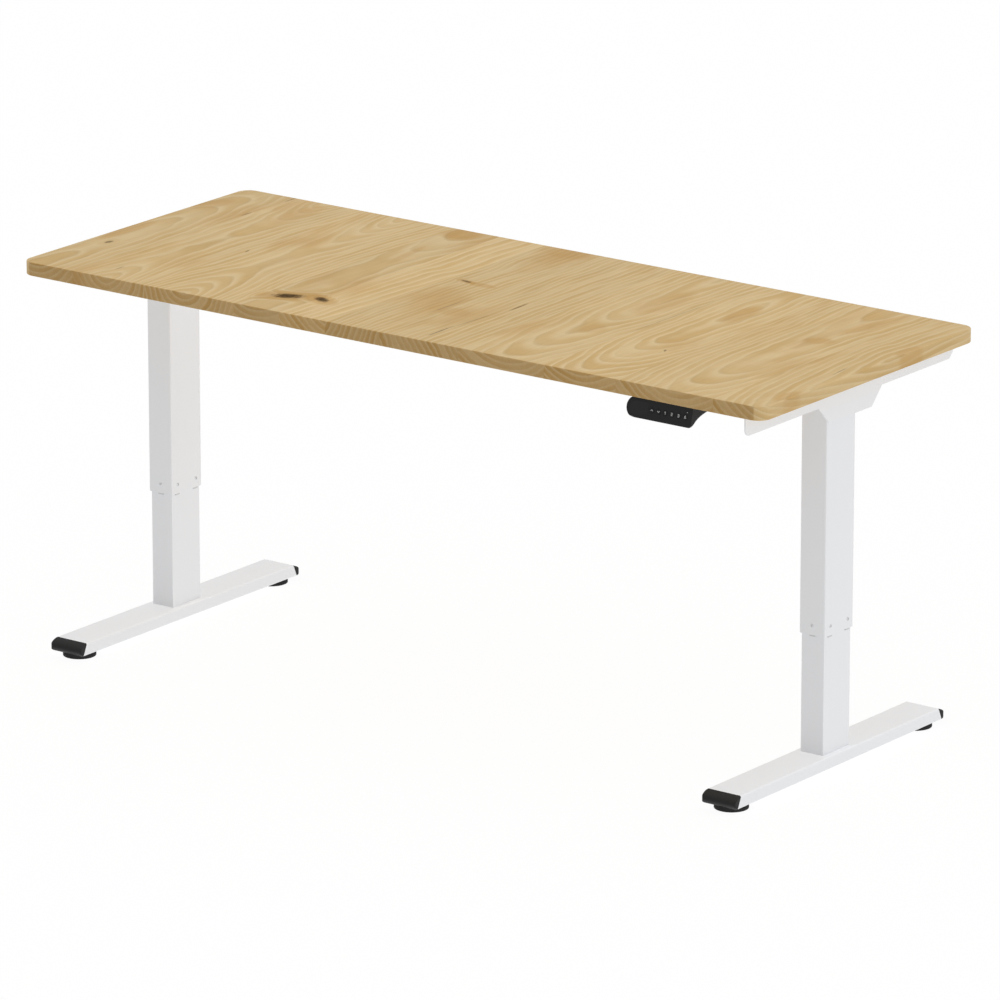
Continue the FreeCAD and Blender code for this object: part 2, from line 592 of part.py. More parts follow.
def make_housing():
    """Gearbox housing with a wheel chamber, a worm tunnel and two bolted ears."""
    x0 = LEG_X - HOUSING_HALF_X
    x1 = LEG_X + HOUSING_HALF_X
    body = box(x0, x1, -HOUSING_HALF_Y, HOUSING_HALF_Y, DRIVE_FLOOR, HOUSING_TOP)
    ear_top = DRIVE_FLOOR + HOUSING_EAR_HEIGHT
    ears = []
    ear_x0 = LEG_X - HEAD_PLATE_INNER
    ear_x1 = LEG_X + HEAD_PLATE_OUTER - HOUSING_EAR_GAP
    motor_space = rod_x(MOTOR_RADIUS + MOTOR_EAR_GAP, WORM_Y, DRIVE_Z, ear_x0 - 1.0, x0)
    for y0, y1 in ((-HOUSING_EAR_HALF, -HOUSING_HALF_Y), (HOUSING_HALF_Y, HOUSING_EAR_HALF)):
        ears.append(box(ear_x0, ear_x1, y0, y1, DRIVE_FLOOR, ear_top).cut(motor_space))
    cuts = [
        rod(CAVITY_RADIUS, LEG_X, 0, DRIVE_FLOOR + BEARING_HEIGHT, HOUSING_TOP + 1.0),
        rod(BEARING_RADIUS, LEG_X, 0, DRIVE_FLOOR - 1.0, DRIVE_FLOOR + BEARING_HEIGHT),
        rod_x(TUNNEL_RADIUS, WORM_Y, DRIVE_Z, x0 - 1.0, LEG_X + WORM_LENGTH / 2 + WORM_END_ROOM),
        rod_x(SHAFT_RADIUS + SHAFT_CLEARANCE, WORM_Y, DRIVE_Z, x0 - 1.0, x1 - SHAFT_END_WALL),
    ]
    screw_foot = HOUSING_TOP + HOUSING_COVER - COVER_SCREW_LENGTH
    for x, y in cover_screw_places():
        cuts.append(rod(COVER_SCREW_RADIUS, x, y, screw_foot, HOUSING_TOP + 1.0))
    for x in COLUMN_BOLT_XS:
        for y in (-COLUMN_BOLT_Y, COLUMN_BOLT_Y):
            cuts.append(rod(BOLT_RADIUS, x, y, DRIVE_FLOOR - 1.0, ear_top + 1.0))
    return fuse([body] + ears).cut(Part.makeCompound(cuts[:2])).cut(Part.makeCompound(cuts[2:]))


def make_housing_cover():
    """Flat cover over the wheel chamber."""
    body = box(LEG_X - HOUSING_HALF_X, LEG_X + HOUSING_HALF_X, -HOUSING_HALF_Y, HOUSING_HALF_Y,
               HOUSING_TOP, HOUSING_TOP + HOUSING_COVER)
    top = HOUSING_TOP + HOUSING_COVER + 1.0
    holes = [rod(COVER_SCREW_HOLE, x, y, HOUSING_TOP - 1.0, top) for x, y in cover_screw_places()]
    return body.cut(Part.makeCompound(holes))


def cover_screw(x, y, seat, direction):
    """A small pan-head machine screw; direction is +1 with the head on top, -1 with it below."""
    axis = V(0, 0, direction)
    head = Part.makeCylinder(COVER_SCREW_HEAD, COVER_SCREW_HEAD_HEIGHT, V(x, y, seat), axis)
    shank_base = V(x, y, seat + direction * 0.5)
    shank = Part.makeCylinder(COVER_SCREW_RADIUS, COVER_SCREW_LENGTH + 0.5, shank_base, V(0, 0, -direction))
    return head.fuse(shank)


def make_cover_screws():
    """The screws of both gearbox covers and of the control box cover."""
    screws = []
    for x, y in cover_screw_places():
        screws.append(cover_screw(x, y, HOUSING_TOP + HOUSING_COVER, 1))
        screws.append(cover_screw(-x, y, HOUSING_TOP + HOUSING_COVER, 1))
    for x, y in box_post_places():
        screws.append(cover_screw(x, y, BOX_BOTTOM - BOX_WALL, -1))
    return Part.makeCompound(screws)


def make_bearing():
    """Plain ring that stands for the spindle's ball bearing."""
    ring = rod(BEARING_RADIUS, LEG_X, 0, DRIVE_FLOOR, DRIVE_FLOOR + BEARING_HEIGHT)
    return ring.cut(rod(JOURNAL_RADIUS + SPINDLE_CLEARANCE, LEG_X, 0, DRIVE_FLOOR - 1.0, HOUSING_TOP))


def make_spindle():
    """Lifting spindle with its journal and the worm wheel moulded on it."""
    thread = rod(SPINDLE_RADIUS, LEG_X, 0, SPINDLE_BOTTOM, DRIVE_FLOOR - SPINDLE_SHOULDER_GAP)
    journal = rod(JOURNAL_RADIUS, LEG_X, 0, DRIVE_FLOOR - 1.0, DRIVE_Z + WHEEL_HEIGHT / 2 + JOURNAL_END)
    wheel = rod(WHEEL_RADIUS, LEG_X, 0, DRIVE_Z - WHEEL_HEIGHT / 2, DRIVE_Z + WHEEL_HEIGHT / 2)
    return fuse([thread, journal, wheel])


def make_motor_can():
    """Motor body with its stator, bored for the rotor and for the shaft."""
    x1 = LEG_X - HOUSING_HALF_X
    x0 = x1 - MOTOR_LENGTH
    body = rod_x(MOTOR_RADIUS, WORM_Y, DRIVE_Z, x0, x1)
    rotor_space = rod_x(MOTOR_BORE, WORM_Y, DRIVE_Z, x0 + 3 * MOTOR_END_WALL, x1 - 2 * MOTOR_END_WALL)
    shaft_bore = rod_x(SHAFT_RADIUS + SHAFT_CLEARANCE, WORM_Y, DRIVE_Z, x0 + MOTOR_END_WALL / 2, x1 + 1.0)
    return body.cut(rotor_space).cut(shaft_bore)


def make_motor_shaft():
    """Motor shaft with its rotor and worm."""
    can_end = LEG_X - HOUSING_HALF_X
    start = can_end - MOTOR_LENGTH + MOTOR_END_WALL
    end = LEG_X + HOUSING_HALF_X - SHAFT_END_WALL - SHAFT_END_GAP
    shaft = rod_x(SHAFT_RADIUS, WORM_Y, DRIVE_Z, start, end)
    worm = rod_x(WORM_RADIUS, WORM_Y, DRIVE_Z, LEG_X - WORM_LENGTH / 2, LEG_X + WORM_LENGTH / 2)
    rotor_start = can_end - 2 * MOTOR_END_WALL - ROTOR_END_GAP - ROTOR_LENGTH
    rotor = rod_x(ROTOR_RADIUS, WORM_Y, DRIVE_Z, rotor_start, rotor_start + ROTOR_LENGTH)
    return fuse([shaft, worm, rotor])


def make_inner_tube():
    """Lower tube of a column with the welded block the foot bolts screw into."""
    body = bar(LEG_X, INNER_WIDTH, INNER_DEPTH, INNER_CORNER, FOOT_TOP, INNER_TOP)
    bore = bar(LEG_X, BORE_WIDTH, BORE_DEPTH, BORE_CORNER, FOOT_TOP + FOOT_BLOCK, INNER_TOP + 1.0)
    block_top = FOOT_TOP + FOOT_BLOCK
    holes = [rod(FOOT_BOLT_RADIUS, LEG_X, y, FOOT_TOP - 1.0, block_top + 1.0) for y in foot_bolt_ys()]
    return body.cut(bore).cut(Part.makeCompound(holes))


def foot_bolt_ys():
    """The two foot bolts of a column."""
    return (-FOOT_BOLT_Y, FOOT_BOLT_Y)


def make_spindle_nut():
    """Nut block pressed into the top of the lower tube."""
    block = bar(LEG_X, BORE_WIDTH, BORE_DEPTH, BORE_CORNER, INNER_TOP - NUT_HEIGHT, INNER_TOP)
    bore = SPINDLE_RADIUS + SPINDLE_CLEARANCE
    return block.cut(rod(bore, LEG_X, 0, INNER_TOP - NUT_HEIGHT - 1.0, INNER_TOP + 1.0))


def make_top_guide():
    """Glide ring round the top of the lower tube."""
    gap = 2 * (SLIDE_GAP - GLIDE_CLEARANCE)
    bottom = INNER_TOP - TOP_GUIDE_LENGTH
    ring = bar(LEG_X, INNER_WIDTH + gap, INNER_DEPTH + gap, INNER_CORNER, bottom, INNER_TOP)
    return ring.cut(bar(LEG_X, INNER_WIDTH, INNER_DEPTH, INNER_CORNER, bottom - 1.0, INNER_TOP + 1.0))


def slanted_end(x0, x1, half_length, z0, z1):
    """A bar along Y whose ends lean like the foot's, longer at the bottom."""
    rise = FOOT_SLANT / FOOT_HEIGHT
    low = half_length + (FOOT_TOP - z0) * rise
    high = half_length + (FOOT_TOP - z1) * rise
    outline = [V(x0, -low, z0), V(x0, low, z0), V(x0, high, z1), V(x0, -high, z1)]
    return prism(outline, V(x1 - x0, 0, 0))


def rounded_bar(body):
    """A foot-wide bar along Y with its long edges rounded like the foot's."""
    long_edges = [e for e in body.Edges if e.BoundBox.YLength > FOOT_TOP_HALF_LENGTH]
    return body.makeFillet(FOOT_CORNER, long_edges)


def make_foot():
    """Hollow foot bar with weld nuts for the levellers and holes for the column bolts."""
    x0 = LEG_X - FOOT_WIDTH / 2
    x1 = LEG_X + FOOT_WIDTH / 2
    body = rounded_bar(slanted_end(x0, x1, FOOT_TOP_HALF_LENGTH, FOOT_BOTTOM, FOOT_TOP))
    floor = FOOT_BOTTOM + FOOT_WALL
    body = body.cut(box(x0 + FOOT_WALL, x1 - FOOT_WALL, -2 * PAD_Y, 2 * PAD_Y, floor, FOOT_TOP - FOOT_WALL))
    nut_top = FOOT_BOTTOM + WELD_NUT_HEIGHT
    nuts = [rod(WELD_NUT_RADIUS, LEG_X, y, FOOT_BOTTOM + 0.5, nut_top) for y in (-PAD_Y, PAD_Y)]
    body = fuse([body] + nuts)
    thread = STUD_RADIUS + THREAD_CLEARANCE
    holes = [rod(thread, LEG_X, y, FOOT_BOTTOM - 1.0, nut_top + 1.0) for y in (-PAD_Y, PAD_Y)]
    for y in foot_bolt_ys():
        holes.append(rod(FOOT_BOLT_HOLE, LEG_X, y, FOOT_TOP - FOOT_WALL - 1.0, FOOT_TOP + 1.0))
        holes.append(rod(FOOT_DRIVER_HOLE, LEG_X, y, FOOT_BOTTOM - 1.0, floor + 1.0))
    return body.cut(Part.makeCompound(holes))


def make_foot_bolts():
    """The two bolts that hold a column on its foot, heads inside the foot."""
    seat = FOOT_TOP - FOOT_WALL
    bolts = []
    for y in foot_bolt_ys():
        head = rod(FOOT_BOLT_HEAD, LEG_X, y, seat - FOOT_BOLT_HEAD, seat)
        bolts.append(head.fuse(rod(FOOT_BOLT_RADIUS, LEG_X, y, seat - 1.0, FOOT_TOP + FOOT_BLOCK)))
    return Part.makeCompound(bolts)


def make_foot_cap():
    """Back end cap of the right foot: a rounded nose outside and a plug inside the bar."""
    x0 = LEG_X - FOOT_WIDTH / 2
    top = FOOT_TOP_HALF_LENGTH
    bar_end = V(x0, top + FOOT_SLANT, FOOT_BOTTOM)
    lower_edge = V(x0, top + FOOT_SLANT + CAP_FOOT, FOOT_BOTTOM)
    upper_edge = V(x0, top, FOOT_TOP)
    seam = Part.makePolygon([lower_edge, bar_end, upper_edge])
    nose = [V(x0, top + reach, FOOT_TOP - share * FOOT_HEIGHT) for reach, share in CAP_NOSE]
    curve = Part.BSplineCurve()
    curve.interpolate([upper_edge] + nose + [lower_edge])
    outline = Part.Wire(seam.Edges + [curve.toShape()])
    body = Part.Face(outline).extrude(V(FOOT_WIDTH, 0, 0))
    furthest = body.BoundBox.YMax
    plan = box(x0, x0 + FOOT_WIDTH, 0, furthest, FOOT_BOTTOM - 1.0, FOOT_TOP + 1.0)
    ends = [e for e in plan.Edges if e.BoundBox.ZLength > FOOT_HEIGHT and e.BoundBox.Center.y > top]
    section = box(x0, x0 + FOOT_WIDTH, 0, furthest + 1.0, FOOT_BOTTOM, FOOT_TOP)
    body = body.common(plan.makeFillet(CAP_CORNER, ends)).common(rounded_bar(section))
    inner_x0 = x0 + FOOT_WALL
    inner_x1 = LEG_X + FOOT_WIDTH / 2 - FOOT_WALL
    plug = slanted_end(inner_x0, inner_x1, top, FOOT_BOTTOM + FOOT_WALL, FOOT_TOP - FOOT_WALL)
    plug = plug.cut(slanted_end(inner_x0 - 1.0, inner_x1 + 1.0, top - CAP_PLUG, FOOT_BOTTOM, FOOT_TOP))
    plug = plug.common(box(inner_x0, inner_x1, 0, 2 * top, FOOT_BOTTOM, FOOT_TOP))
    return body.fuse(plug).removeSplitter()


def make_foot_caps():
    """Both end caps of the right foot."""
    cap = make_foot_cap()
    return Part.makeCompound([cap, cap.mirror(V(0, 0, 0), V(0, 1, 0))])


def make_leveller_pad(y):
    """Round levelling pad with the socket its stud turns in."""
    edge = rod(PAD_RADIUS, LEG_X, y, 0.0, PAD_EDGE_HEIGHT)
    slope = Part.makeCone(PAD_RADIUS, PAD_SHOULDER_RADIUS, PAD_HEIGHT - PAD_EDGE_HEIGHT,
                          V(LEG_X, y, PAD_EDGE_HEIGHT), V(0, 0, 1))
    socket = rod(STUD_RADIUS + THREAD_CLEARANCE, LEG_X, y, STUD_SEAT, PAD_HEIGHT + 1.0)
    return edge.fuse(slope).removeSplitter().cut(socket)


def make_leveller_stud(y):
    """Threaded stud of a leveller."""
    return rod(STUD_RADIUS, LEG_X, y, STUD_SEAT + 0.3, STUD_TOP)


def box_post_places():
    """Screw posts of the control box."""
    x = BOX_HALF_LENGTH - BOX_POST_INSET
    return [(sx * x, y) for sx in (-1, 1) for y in (BOX_FRONT + BOX_POST_INSET, BOX_BACK - BOX_POST_INSET)]


def socket_specs():
    """Each socket in the back wall of the control box: x, outer size and recess size."""
    specs = [(INLET_X, INLET_SIZE, INLET_RECESS)]
    for x in MOTOR_SOCKET_X:
        specs.append((x, MOTOR_SOCKET_SIZE, MOTOR_SOCKET_RECESS))
    specs.append((HANDSET_SOCKET_X, HANDSET_SOCKET_SIZE, HANDSET_SOCKET_RECESS))
    return specs


def centred_block(x, z, size, y_back):
    """A block of (width, height, depth) centred on x and z, ending at y_back."""
    width, height, depth = size
    return box(x - width / 2, x + width / 2, y_back - depth, y_back, z - height / 2, z + height / 2)


def make_box_case():
    """Control box case, open below, with mounting ears, screw posts and socket windows."""
    half = BOX_HALF_LENGTH
    wall = BOX_WALL
    body = box(-half, half, BOX_FRONT, BOX_BACK, BOX_BOTTOM, TOP_UNDERSIDE)
    inside = half - wall
    hollow = box(-inside, inside, BOX_FRONT + wall, BOX_BACK - wall, BOX_BOTTOM - 1.0, TOP_UNDERSIDE - wall)
    ears = box(-half - BOX_EAR, half + BOX_EAR, BOX_FRONT, BOX_BACK, TOP_UNDERSIDE - wall, TOP_UNDERSIDE)
    posts = [rod(BOX_POST, x, y, BOX_BOTTOM, TOP_UNDERSIDE - 1.0) for x, y in box_post_places()]
    shell = fuse([body.cut(hollow), ears] + posts)
    cuts = screw_holes(WOOD_SCREW_HOLE, TOP_UNDERSIDE - wall - 1.0, TOP_UNDERSIDE + 1.0)
    for x, y in box_post_places():
        cuts.append(rod(COVER_SCREW_RADIUS, x, y, BOX_BOTTOM - 1.0, BOX_BOTTOM - wall + COVER_SCREW_LENGTH))
    z = TOP_UNDERSIDE - SOCKET_Z
    for x, size, recess in socket_specs():
        cuts.append(centred_block(x, z, size, BOX_BACK + 1.0))
    return shell.cut(Part.makeCompound(cuts))


def make_box_cover():
    """Flat cover under the control box."""
    body = box(-BOX_HALF_LENGTH, BOX_HALF_LENGTH, BOX_FRONT, BOX_BACK, BOX_BOTTOM - BOX_WALL, BOX_BOTTOM)
    bottom = BOX_BOTTOM - BOX_WALL - 1.0
    holes = [rod(COVER_SCREW_HOLE, x, y, bottom, BOX_BOTTOM + 1.0) for x, y in box_post_places()]
    return body.cut(Part.makeCompound(holes))


def make_box_board():
    """Circuit board of the control box with its larger components."""
    ceiling = TOP_UNDERSIDE - BOX_WALL
    top = ceiling - BOX_BOARD_GAP
    under = top - BOARD_THICKNESS
    x = BOX_HALF_LENGTH - BOX_POST_INSET - BOX_POST - BOX_BOARD_GAP
    board = box(-x, x, BOX_FRONT + BOX_WALL + BOX_BOARD_GAP, BOX_BACK - BOX_BOARD_BACK, under, top)
    parts = [board]
    for x0, x1, y0, y1, drop in BOX_COMPONENTS:
        parts.append(box(x0, x1, BOX_FRONT + y0, BOX_FRONT + y1, top - drop, under))
    for cx in CAPACITOR_XS:
        parts.append(rod(CAPACITOR_RADIUS, cx, BOX_FRONT + CAPACITOR_Y, top - CAPACITOR_DROP, under))
    for cx in (-SPACER_X, SPACER_X):
        for cy in SPACER_YS:
            parts.append(rod(SPACER_RADIUS, cx, BOX_FRONT + cy, top, ceiling))
    return fuse(parts)


def make_socket(x, size, recess):
    """One socket body with a flange outside the wall and an open recess."""
    z = TOP_UNDERSIDE - SOCKET_Z
    rim = SOCKET_FLANGE_RIM
    body = centred_block(x, z, size, BOX_BACK)
    flange_size = (size[0] + 2 * rim, size[1] + 2 * rim, SOCKET_FLANGE)
    flange = centred_block(x, z, flange_size, BOX_BACK + SOCKET_FLANGE)
    hollow = centred_block(x, z, recess, BOX_BACK + SOCKET_FLANGE)
    return body.fuse(flange).removeSplitter().cut(hollow)


def make_mains_inlet():
    """Three-pin mains inlet."""
    body = make_socket(INLET_X, INLET_SIZE, INLET_RECESS)
    z = TOP_UNDERSIDE - SOCKET_Z
    floor = BOX_BACK + SOCKET_FLANGE - INLET_RECESS[2]
    width, height, length = INLET_PIN
    pins = []
    for dx, dz in INLET_PIN_PLACES:
        pins.append(box(INLET_X + dx - width / 2, INLET_X + dx + width / 2, floor - 1.0, floor + length,
                        z + dz - height / 2, z + dz + height / 2))
    return fuse([body] + pins)


def make_low_voltage_sockets():
    """The two motor sockets and the handset socket."""
    return Part.makeCompound([make_socket(x, size, recess) for x, size, recess in socket_specs()[1:]])


def handset_prism(margin, y0, y1):
    """The handset's front view, drawn in from its rim by a margin, extruded from y0 to y1."""
    x0 = HANDSET_LEFT + margin
    x1 = HANDSET_RIGHT - margin
    z0 = HANDSET_BOTTOM + margin
    body = box(x0, x1, y0, y1, z0, TOP_UNDERSIDE - margin)
    lefts = []
    rights = []
    for e in body.Edges:
        along = e.BoundBox.YLength > y1 - y0 - 0.1
        if along and e.BoundBox.Center.x < x0 + 1.0:
            lefts.append(e)
        elif along and e.BoundBox.Center.z < z0 + 1.0:
            rights.append(e)
    body = body.makeFillet(HANDSET_LEFT_RADIUS - margin, lefts)
    corner = V(x1, (y0 + y1) / 2, z0)
    rights = [e for e in body.Edges if (e.BoundBox.Center - corner).Length < 0.1]
    return body.makeFillet(max(HANDSET_RIGHT_RADIUS - margin, 1.0), rights)


def leaned(shape):
    """A handset part drawn against an upright face, turned to lie on the leaning face."""
    turned = shape.copy()
    turned.rotate(V(0, HANDSET_FRONT, HANDSET_BOTTOM), V(1, 0, 0), -HANDSET_TILT)
    return turned


def face_layer(d0, d1):
    """All room between two depths behind the leaning face."""
    x0 = HANDSET_LEFT - 1.0
    x1 = HANDSET_RIGHT + 1.0
    z0 = HANDSET_BOTTOM - HANDSET_FACE_HEIGHT
    z1 = HANDSET_BOTTOM + 2 * HANDSET_FACE_HEIGHT
    return leaned(box(x0, x1, HANDSET_FRONT + d0, HANDSET_FRONT + d1, z0, z1))


def face_point(x, depth, rise):
    """A point behind the leaning face: its depth, and its height up the face."""
    y = HANDSET_FRONT + depth * math.cos(HANDSET_LEAN) + rise * math.sin(HANDSET_LEAN)
    return V(x, y, HANDSET_BOTTOM + rise * math.cos(HANDSET_LEAN) - depth * math.sin(HANDSET_LEAN))


def handset_profile(x0, x1):
    """The handset's side view extruded across its width, with the curve under it."""
    front = HANDSET_FRONT
    under = [V(x0, front + HANDSET_UNDER_START, HANDSET_BOTTOM)]
    for back, drop in HANDSET_UNDER_CURVE:
        under.append(V(x0, front + back, TOP_UNDERSIDE - drop))
    curve = Part.BSplineCurve()
    curve.interpolate(under)
    back_y = front + HANDSET_REACH
    straight = Part.makePolygon([
        under[-1],
        V(x0, back_y, TOP_UNDERSIDE - HANDSET_BACK_DROP),
        V(x0, back_y, TOP_UNDERSIDE),
        face_point(x0, 0.0, HANDSET_FACE_HEIGHT),
        face_point(x0, 0.0, HANDSET_CHIN),
        under[0],
    ])
    outline = Part.Wire(straight.Edges + [curve.toShape()])
    return Part.Face(outline).extrude(V(x1 - x0, 0, 0))


def make_handset_case():
    """Handset case: rounded in front, swept up behind, hollow behind its face."""
    front = HANDSET_FRONT
    body = handset_profile(HANDSET_LEFT, HANDSET_RIGHT)
    body = body.common(handset_prism(0.0, front - 1.0, front + HANDSET_REACH + 1.0))
    seat = handset_prism(FACE_MARGIN, front - 1.0, front + CAVITY_BACK)
    seat = seat.common(face_layer(-1.0, FACE_THICKNESS))
    x0 = HANDSET_LEFT + CAVITY_LEFT
    x1 = HANDSET_RIGHT - CAVITY_RIGHT
    roof = TOP_UNDERSIDE - CAVITY_ROOF
    lower = [V(x0, front + back, TOP_UNDERSIDE - drop) for back, drop in CAVITY_UNDER]
    outline = [V(x0, front, lower[0].z)] + lower + [V(x0, lower[-1].y, roof), V(x0, front, roof)]
    cavity = prism(outline, V(x1 - x0, 0, 0))
    behind_face = face_layer(FACE_THICKNESS - 0.5, 2 * HANDSET_REACH)
    body = body.cut(seat).cut(cavity.common(behind_face))
    posts = []
    z0, z1 = HANDSET_POST_RISE
    post_front = handset_board_front() + BOARD_THICKNESS
    post_end = front + HANDSET_POST_END
    for offset in HANDSET_POSTS:
        x = HANDSET_LEFT + offset
        post = box(x, x + HANDSET_POST_WIDTH, post_front, post_end, HANDSET_BOTTOM + z0, HANDSET_BOTTOM + z1)
        posts.append(leaned(post))
    body = fuse([body] + posts)
    holes = []
    y = front + HANDSET_SCREW_BACK
    seat_z = TOP_UNDERSIDE - HANDSET_SCREW_SEAT
    for x in HANDSET_SCREW_XS:
        holes.append(rod(WOOD_SCREW_HOLE, x, y, HANDSET_BOTTOM, TOP_UNDERSIDE + 1.0))
        holes.append(rod(HANDSET_SCREW_WELL, x, y, HANDSET_BOTTOM, seat_z))
    return body.cut(Part.makeCompound(holes))


def button_xs():
    """Centres of the buttons."""
    return [HANDSET_LEFT + BUTTON_FIRST + i * BUTTON_PITCH for i in range(BUTTON_COUNT)]


def display_block(d0, d1):
    """Display lens between two depths: round on the left, swept up at its lower right."""
    y0 = HANDSET_FRONT - 1.0
    y1 = HANDSET_FRONT + CAVITY_BACK
    body = handset_prism(DISPLAY_LEFT - HANDSET_LEFT, y0, y1)
    width = box(DISPLAY_LEFT - 1.0, DISPLAY_RIGHT, y0 - 1.0, y1 + 1.0, HANDSET_BOTTOM, TOP_UNDERSIDE)
    body = body.common(width)
    corner = V(DISPLAY_RIGHT, (y0 + y1) / 2, HANDSET_BOTTOM + DISPLAY_MARGIN)
    edges = [e for e in body.Edges if (e.BoundBox.Center - corner).Length < 0.1]
    return body.makeFillet(DISPLAY_SWEEP, edges).common(face_layer(d0, d1))


def make_handset_face():
    """Front panel with the display pocket and the button holes."""
    back = HANDSET_FRONT + FACE_THICKNESS
    body = handset_prism(FACE_MARGIN, HANDSET_FRONT - 1.0, HANDSET_FRONT + CAVITY_BACK)
    body = body.common(face_layer(0.0, FACE_THICKNESS))
    radius = BUTTON_RADIUS + BUTTON_GAP
    holes = [leaned(rod_y(radius, x, BUTTON_Z, HANDSET_FRONT - 1.0, back + 1.0)) for x in button_xs()]
    return body.cut(display_block(-1.0, DISPLAY_THICKNESS)).cut(Part.makeCompound(holes))


def make_display():
    """Display lens let into the front panel."""
    return display_block(0.0, DISPLAY_THICKNESS)


def make_button(x):
    """Round push button with a retaining flange and a stem."""
    flange_y = HANDSET_FRONT + FACE_THICKNESS + BUTTON_FLANGE_GAP
    flange = rod_y(BUTTON_FLANGE, x, BUTTON_Z, flange_y, flange_y + BUTTON_FLANGE_THICKNESS)
    cap = rod_y(BUTTON_RADIUS, x, BUTTON_Z, HANDSET_FRONT - BUTTON_PROUD, flange_y + 0.5)
    stem = rod_y(BUTTON_STEM, x, BUTTON_Z, flange_y, HANDSET_FRONT + BUTTON_REACH)
    return leaned(fuse([cap, flange, stem]))


def handset_board_front():
    """Front face of the handset's board, drawn against an upright face, behind the switches."""
    return HANDSET_FRONT + BUTTON_REACH + SWITCH_GAP + SWITCH_HEIGHT


def make_handset_board():
    """Handset board with a switch behind each button."""
    front = handset_board_front()
    z0, z1 = HANDSET_BOARD_RISE
    board = box(HANDSET_LEFT + HANDSET_BOARD_LEFT, HANDSET_RIGHT - HANDSET_BOARD_RIGHT, front,
                front + BOARD_THICKNESS, HANDSET_BOTTOM + z0, HANDSET_BOTTOM + z1)
    half = SWITCH_SIZE / 2
    z0 = BUTTON_Z - half
    switches = []
    for x in button_xs():
        switches.append(box(x - half, x + half, front - SWITCH_HEIGHT, front, z0, z0 + SWITCH_SIZE))
    return leaned(fuse([board] + switches))


def main():
    os.makedirs("parts", exist_ok=True)
    save("desktop", make_desktop())
    save("side_bracket_right", make_side_bracket(BRACKET_HALF_LENGTH))
    save("side_bracket_left", mirrored(make_side_bracket(LEFT_BRACKET_HALF_LENGTH)))
    save("beam_centre", make_beam_centre())
    save_pair("beam_end", make_beam_end())
    save("frame_bolts", make_frame_bolts())
    save("wood_screws", Part.makeCompound([wood_screw(x, y, seat) for x, y, seat in wood_screw_places()]))
    save_pair("outer_tube", make_outer_tube())
    save_pair("glide_sleeve", make_glide_sleeve())
    save("glide_screws", make_glide_screws())
    save("column_bolts", make_column_bolts())
    save_pair("gearbox_housing", make_housing())
    cover = make_housing_cover()
    save("gearbox_covers", Part.makeCompound([cover, mirrored(cover)]))
    save("cover_screws", make_cover_screws())
    bearing = make_bearing()
    save("spindle_bearings", Part.makeCompound([bearing, mirrored(bearing)]))
    save_pair("spindle", make_spindle())
    save_pair("motor_can", make_motor_can())
    save_pair("motor_shaft", make_motor_shaft())
    save_pair("inner_tube", make_inner_tube())
    save_pair("spindle_nut", make_spindle_nut())
    save_pair("top_guide", make_top_guide())
    save_pair("foot", make_foot())
    save_pair("foot_bolts", make_foot_bolts())
    save_pair("foot_caps", make_foot_caps())
    for place, y in (("front", -PAD_Y), ("back", PAD_Y)):
        save_pair("leveller_pad_" + place, make_leveller_pad(y))
        save_pair("leveller_stud_" + place, make_leveller_stud(y))
    save("control_box_case", make_box_case())
    save("control_box_cover", make_box_cover())
    save("control_box_board", make_box_board())
    save("mains_inlet", make_mains_inlet())
    save("low_voltage_sockets", make_low_voltage_sockets())
    save("handset_case", make_handset_case())
    save("handset_face", make_handset_face())
    save("handset_display", make_display())
    save("handset_board", make_handset_board())
    for i, x in enumerate(button_xs()):
        save("handset_button_" + str(i + 1), make_button(x))


main()
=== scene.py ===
"""Dresses the height adjustable desk: solid wood top, white powder-coated frame, black handset and feet."""

from __future__ import annotations

import json
import logging
import math
from dataclasses import dataclass, field
from enum import Enum
from typing import Callable, Sequence, Union

import bmesh
import bpy
from mathutils import Matrix, Vector


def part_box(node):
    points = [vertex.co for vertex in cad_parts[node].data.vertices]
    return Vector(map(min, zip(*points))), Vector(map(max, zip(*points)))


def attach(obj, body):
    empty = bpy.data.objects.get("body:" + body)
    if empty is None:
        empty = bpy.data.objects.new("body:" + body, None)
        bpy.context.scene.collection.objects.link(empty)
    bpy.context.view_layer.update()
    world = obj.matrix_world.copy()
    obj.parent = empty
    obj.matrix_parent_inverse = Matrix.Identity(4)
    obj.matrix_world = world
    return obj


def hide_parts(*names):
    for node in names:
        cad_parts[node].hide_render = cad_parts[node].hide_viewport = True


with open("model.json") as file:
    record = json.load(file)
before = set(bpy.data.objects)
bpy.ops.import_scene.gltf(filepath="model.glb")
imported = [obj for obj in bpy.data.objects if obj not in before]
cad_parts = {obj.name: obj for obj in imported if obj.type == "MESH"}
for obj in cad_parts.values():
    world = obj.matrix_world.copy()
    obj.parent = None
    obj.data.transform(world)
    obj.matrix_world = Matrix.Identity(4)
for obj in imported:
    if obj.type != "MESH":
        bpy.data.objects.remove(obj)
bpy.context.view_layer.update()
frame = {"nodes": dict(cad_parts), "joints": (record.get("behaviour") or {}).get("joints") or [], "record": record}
LOG = logging.getLogger("desk")
MM = 0.001
SIDES = ("left", "right")

WELD_NEW = 1e-6  # points of made meshes nearer than this become one
WELD_CAD = 2e-6  # the same for copies of CAD nodes
FLAT_DEG = 0.4  # faces that meet flatter than this become one
BEVEL_FROM_DEG = 40.0  # edges sharper than this are softened
PLAIN_SMOOTH_DEG = 32.0  # edges of CAD copies and screws flatter than this look smooth
RIB_BEVEL = 0.25 * MM

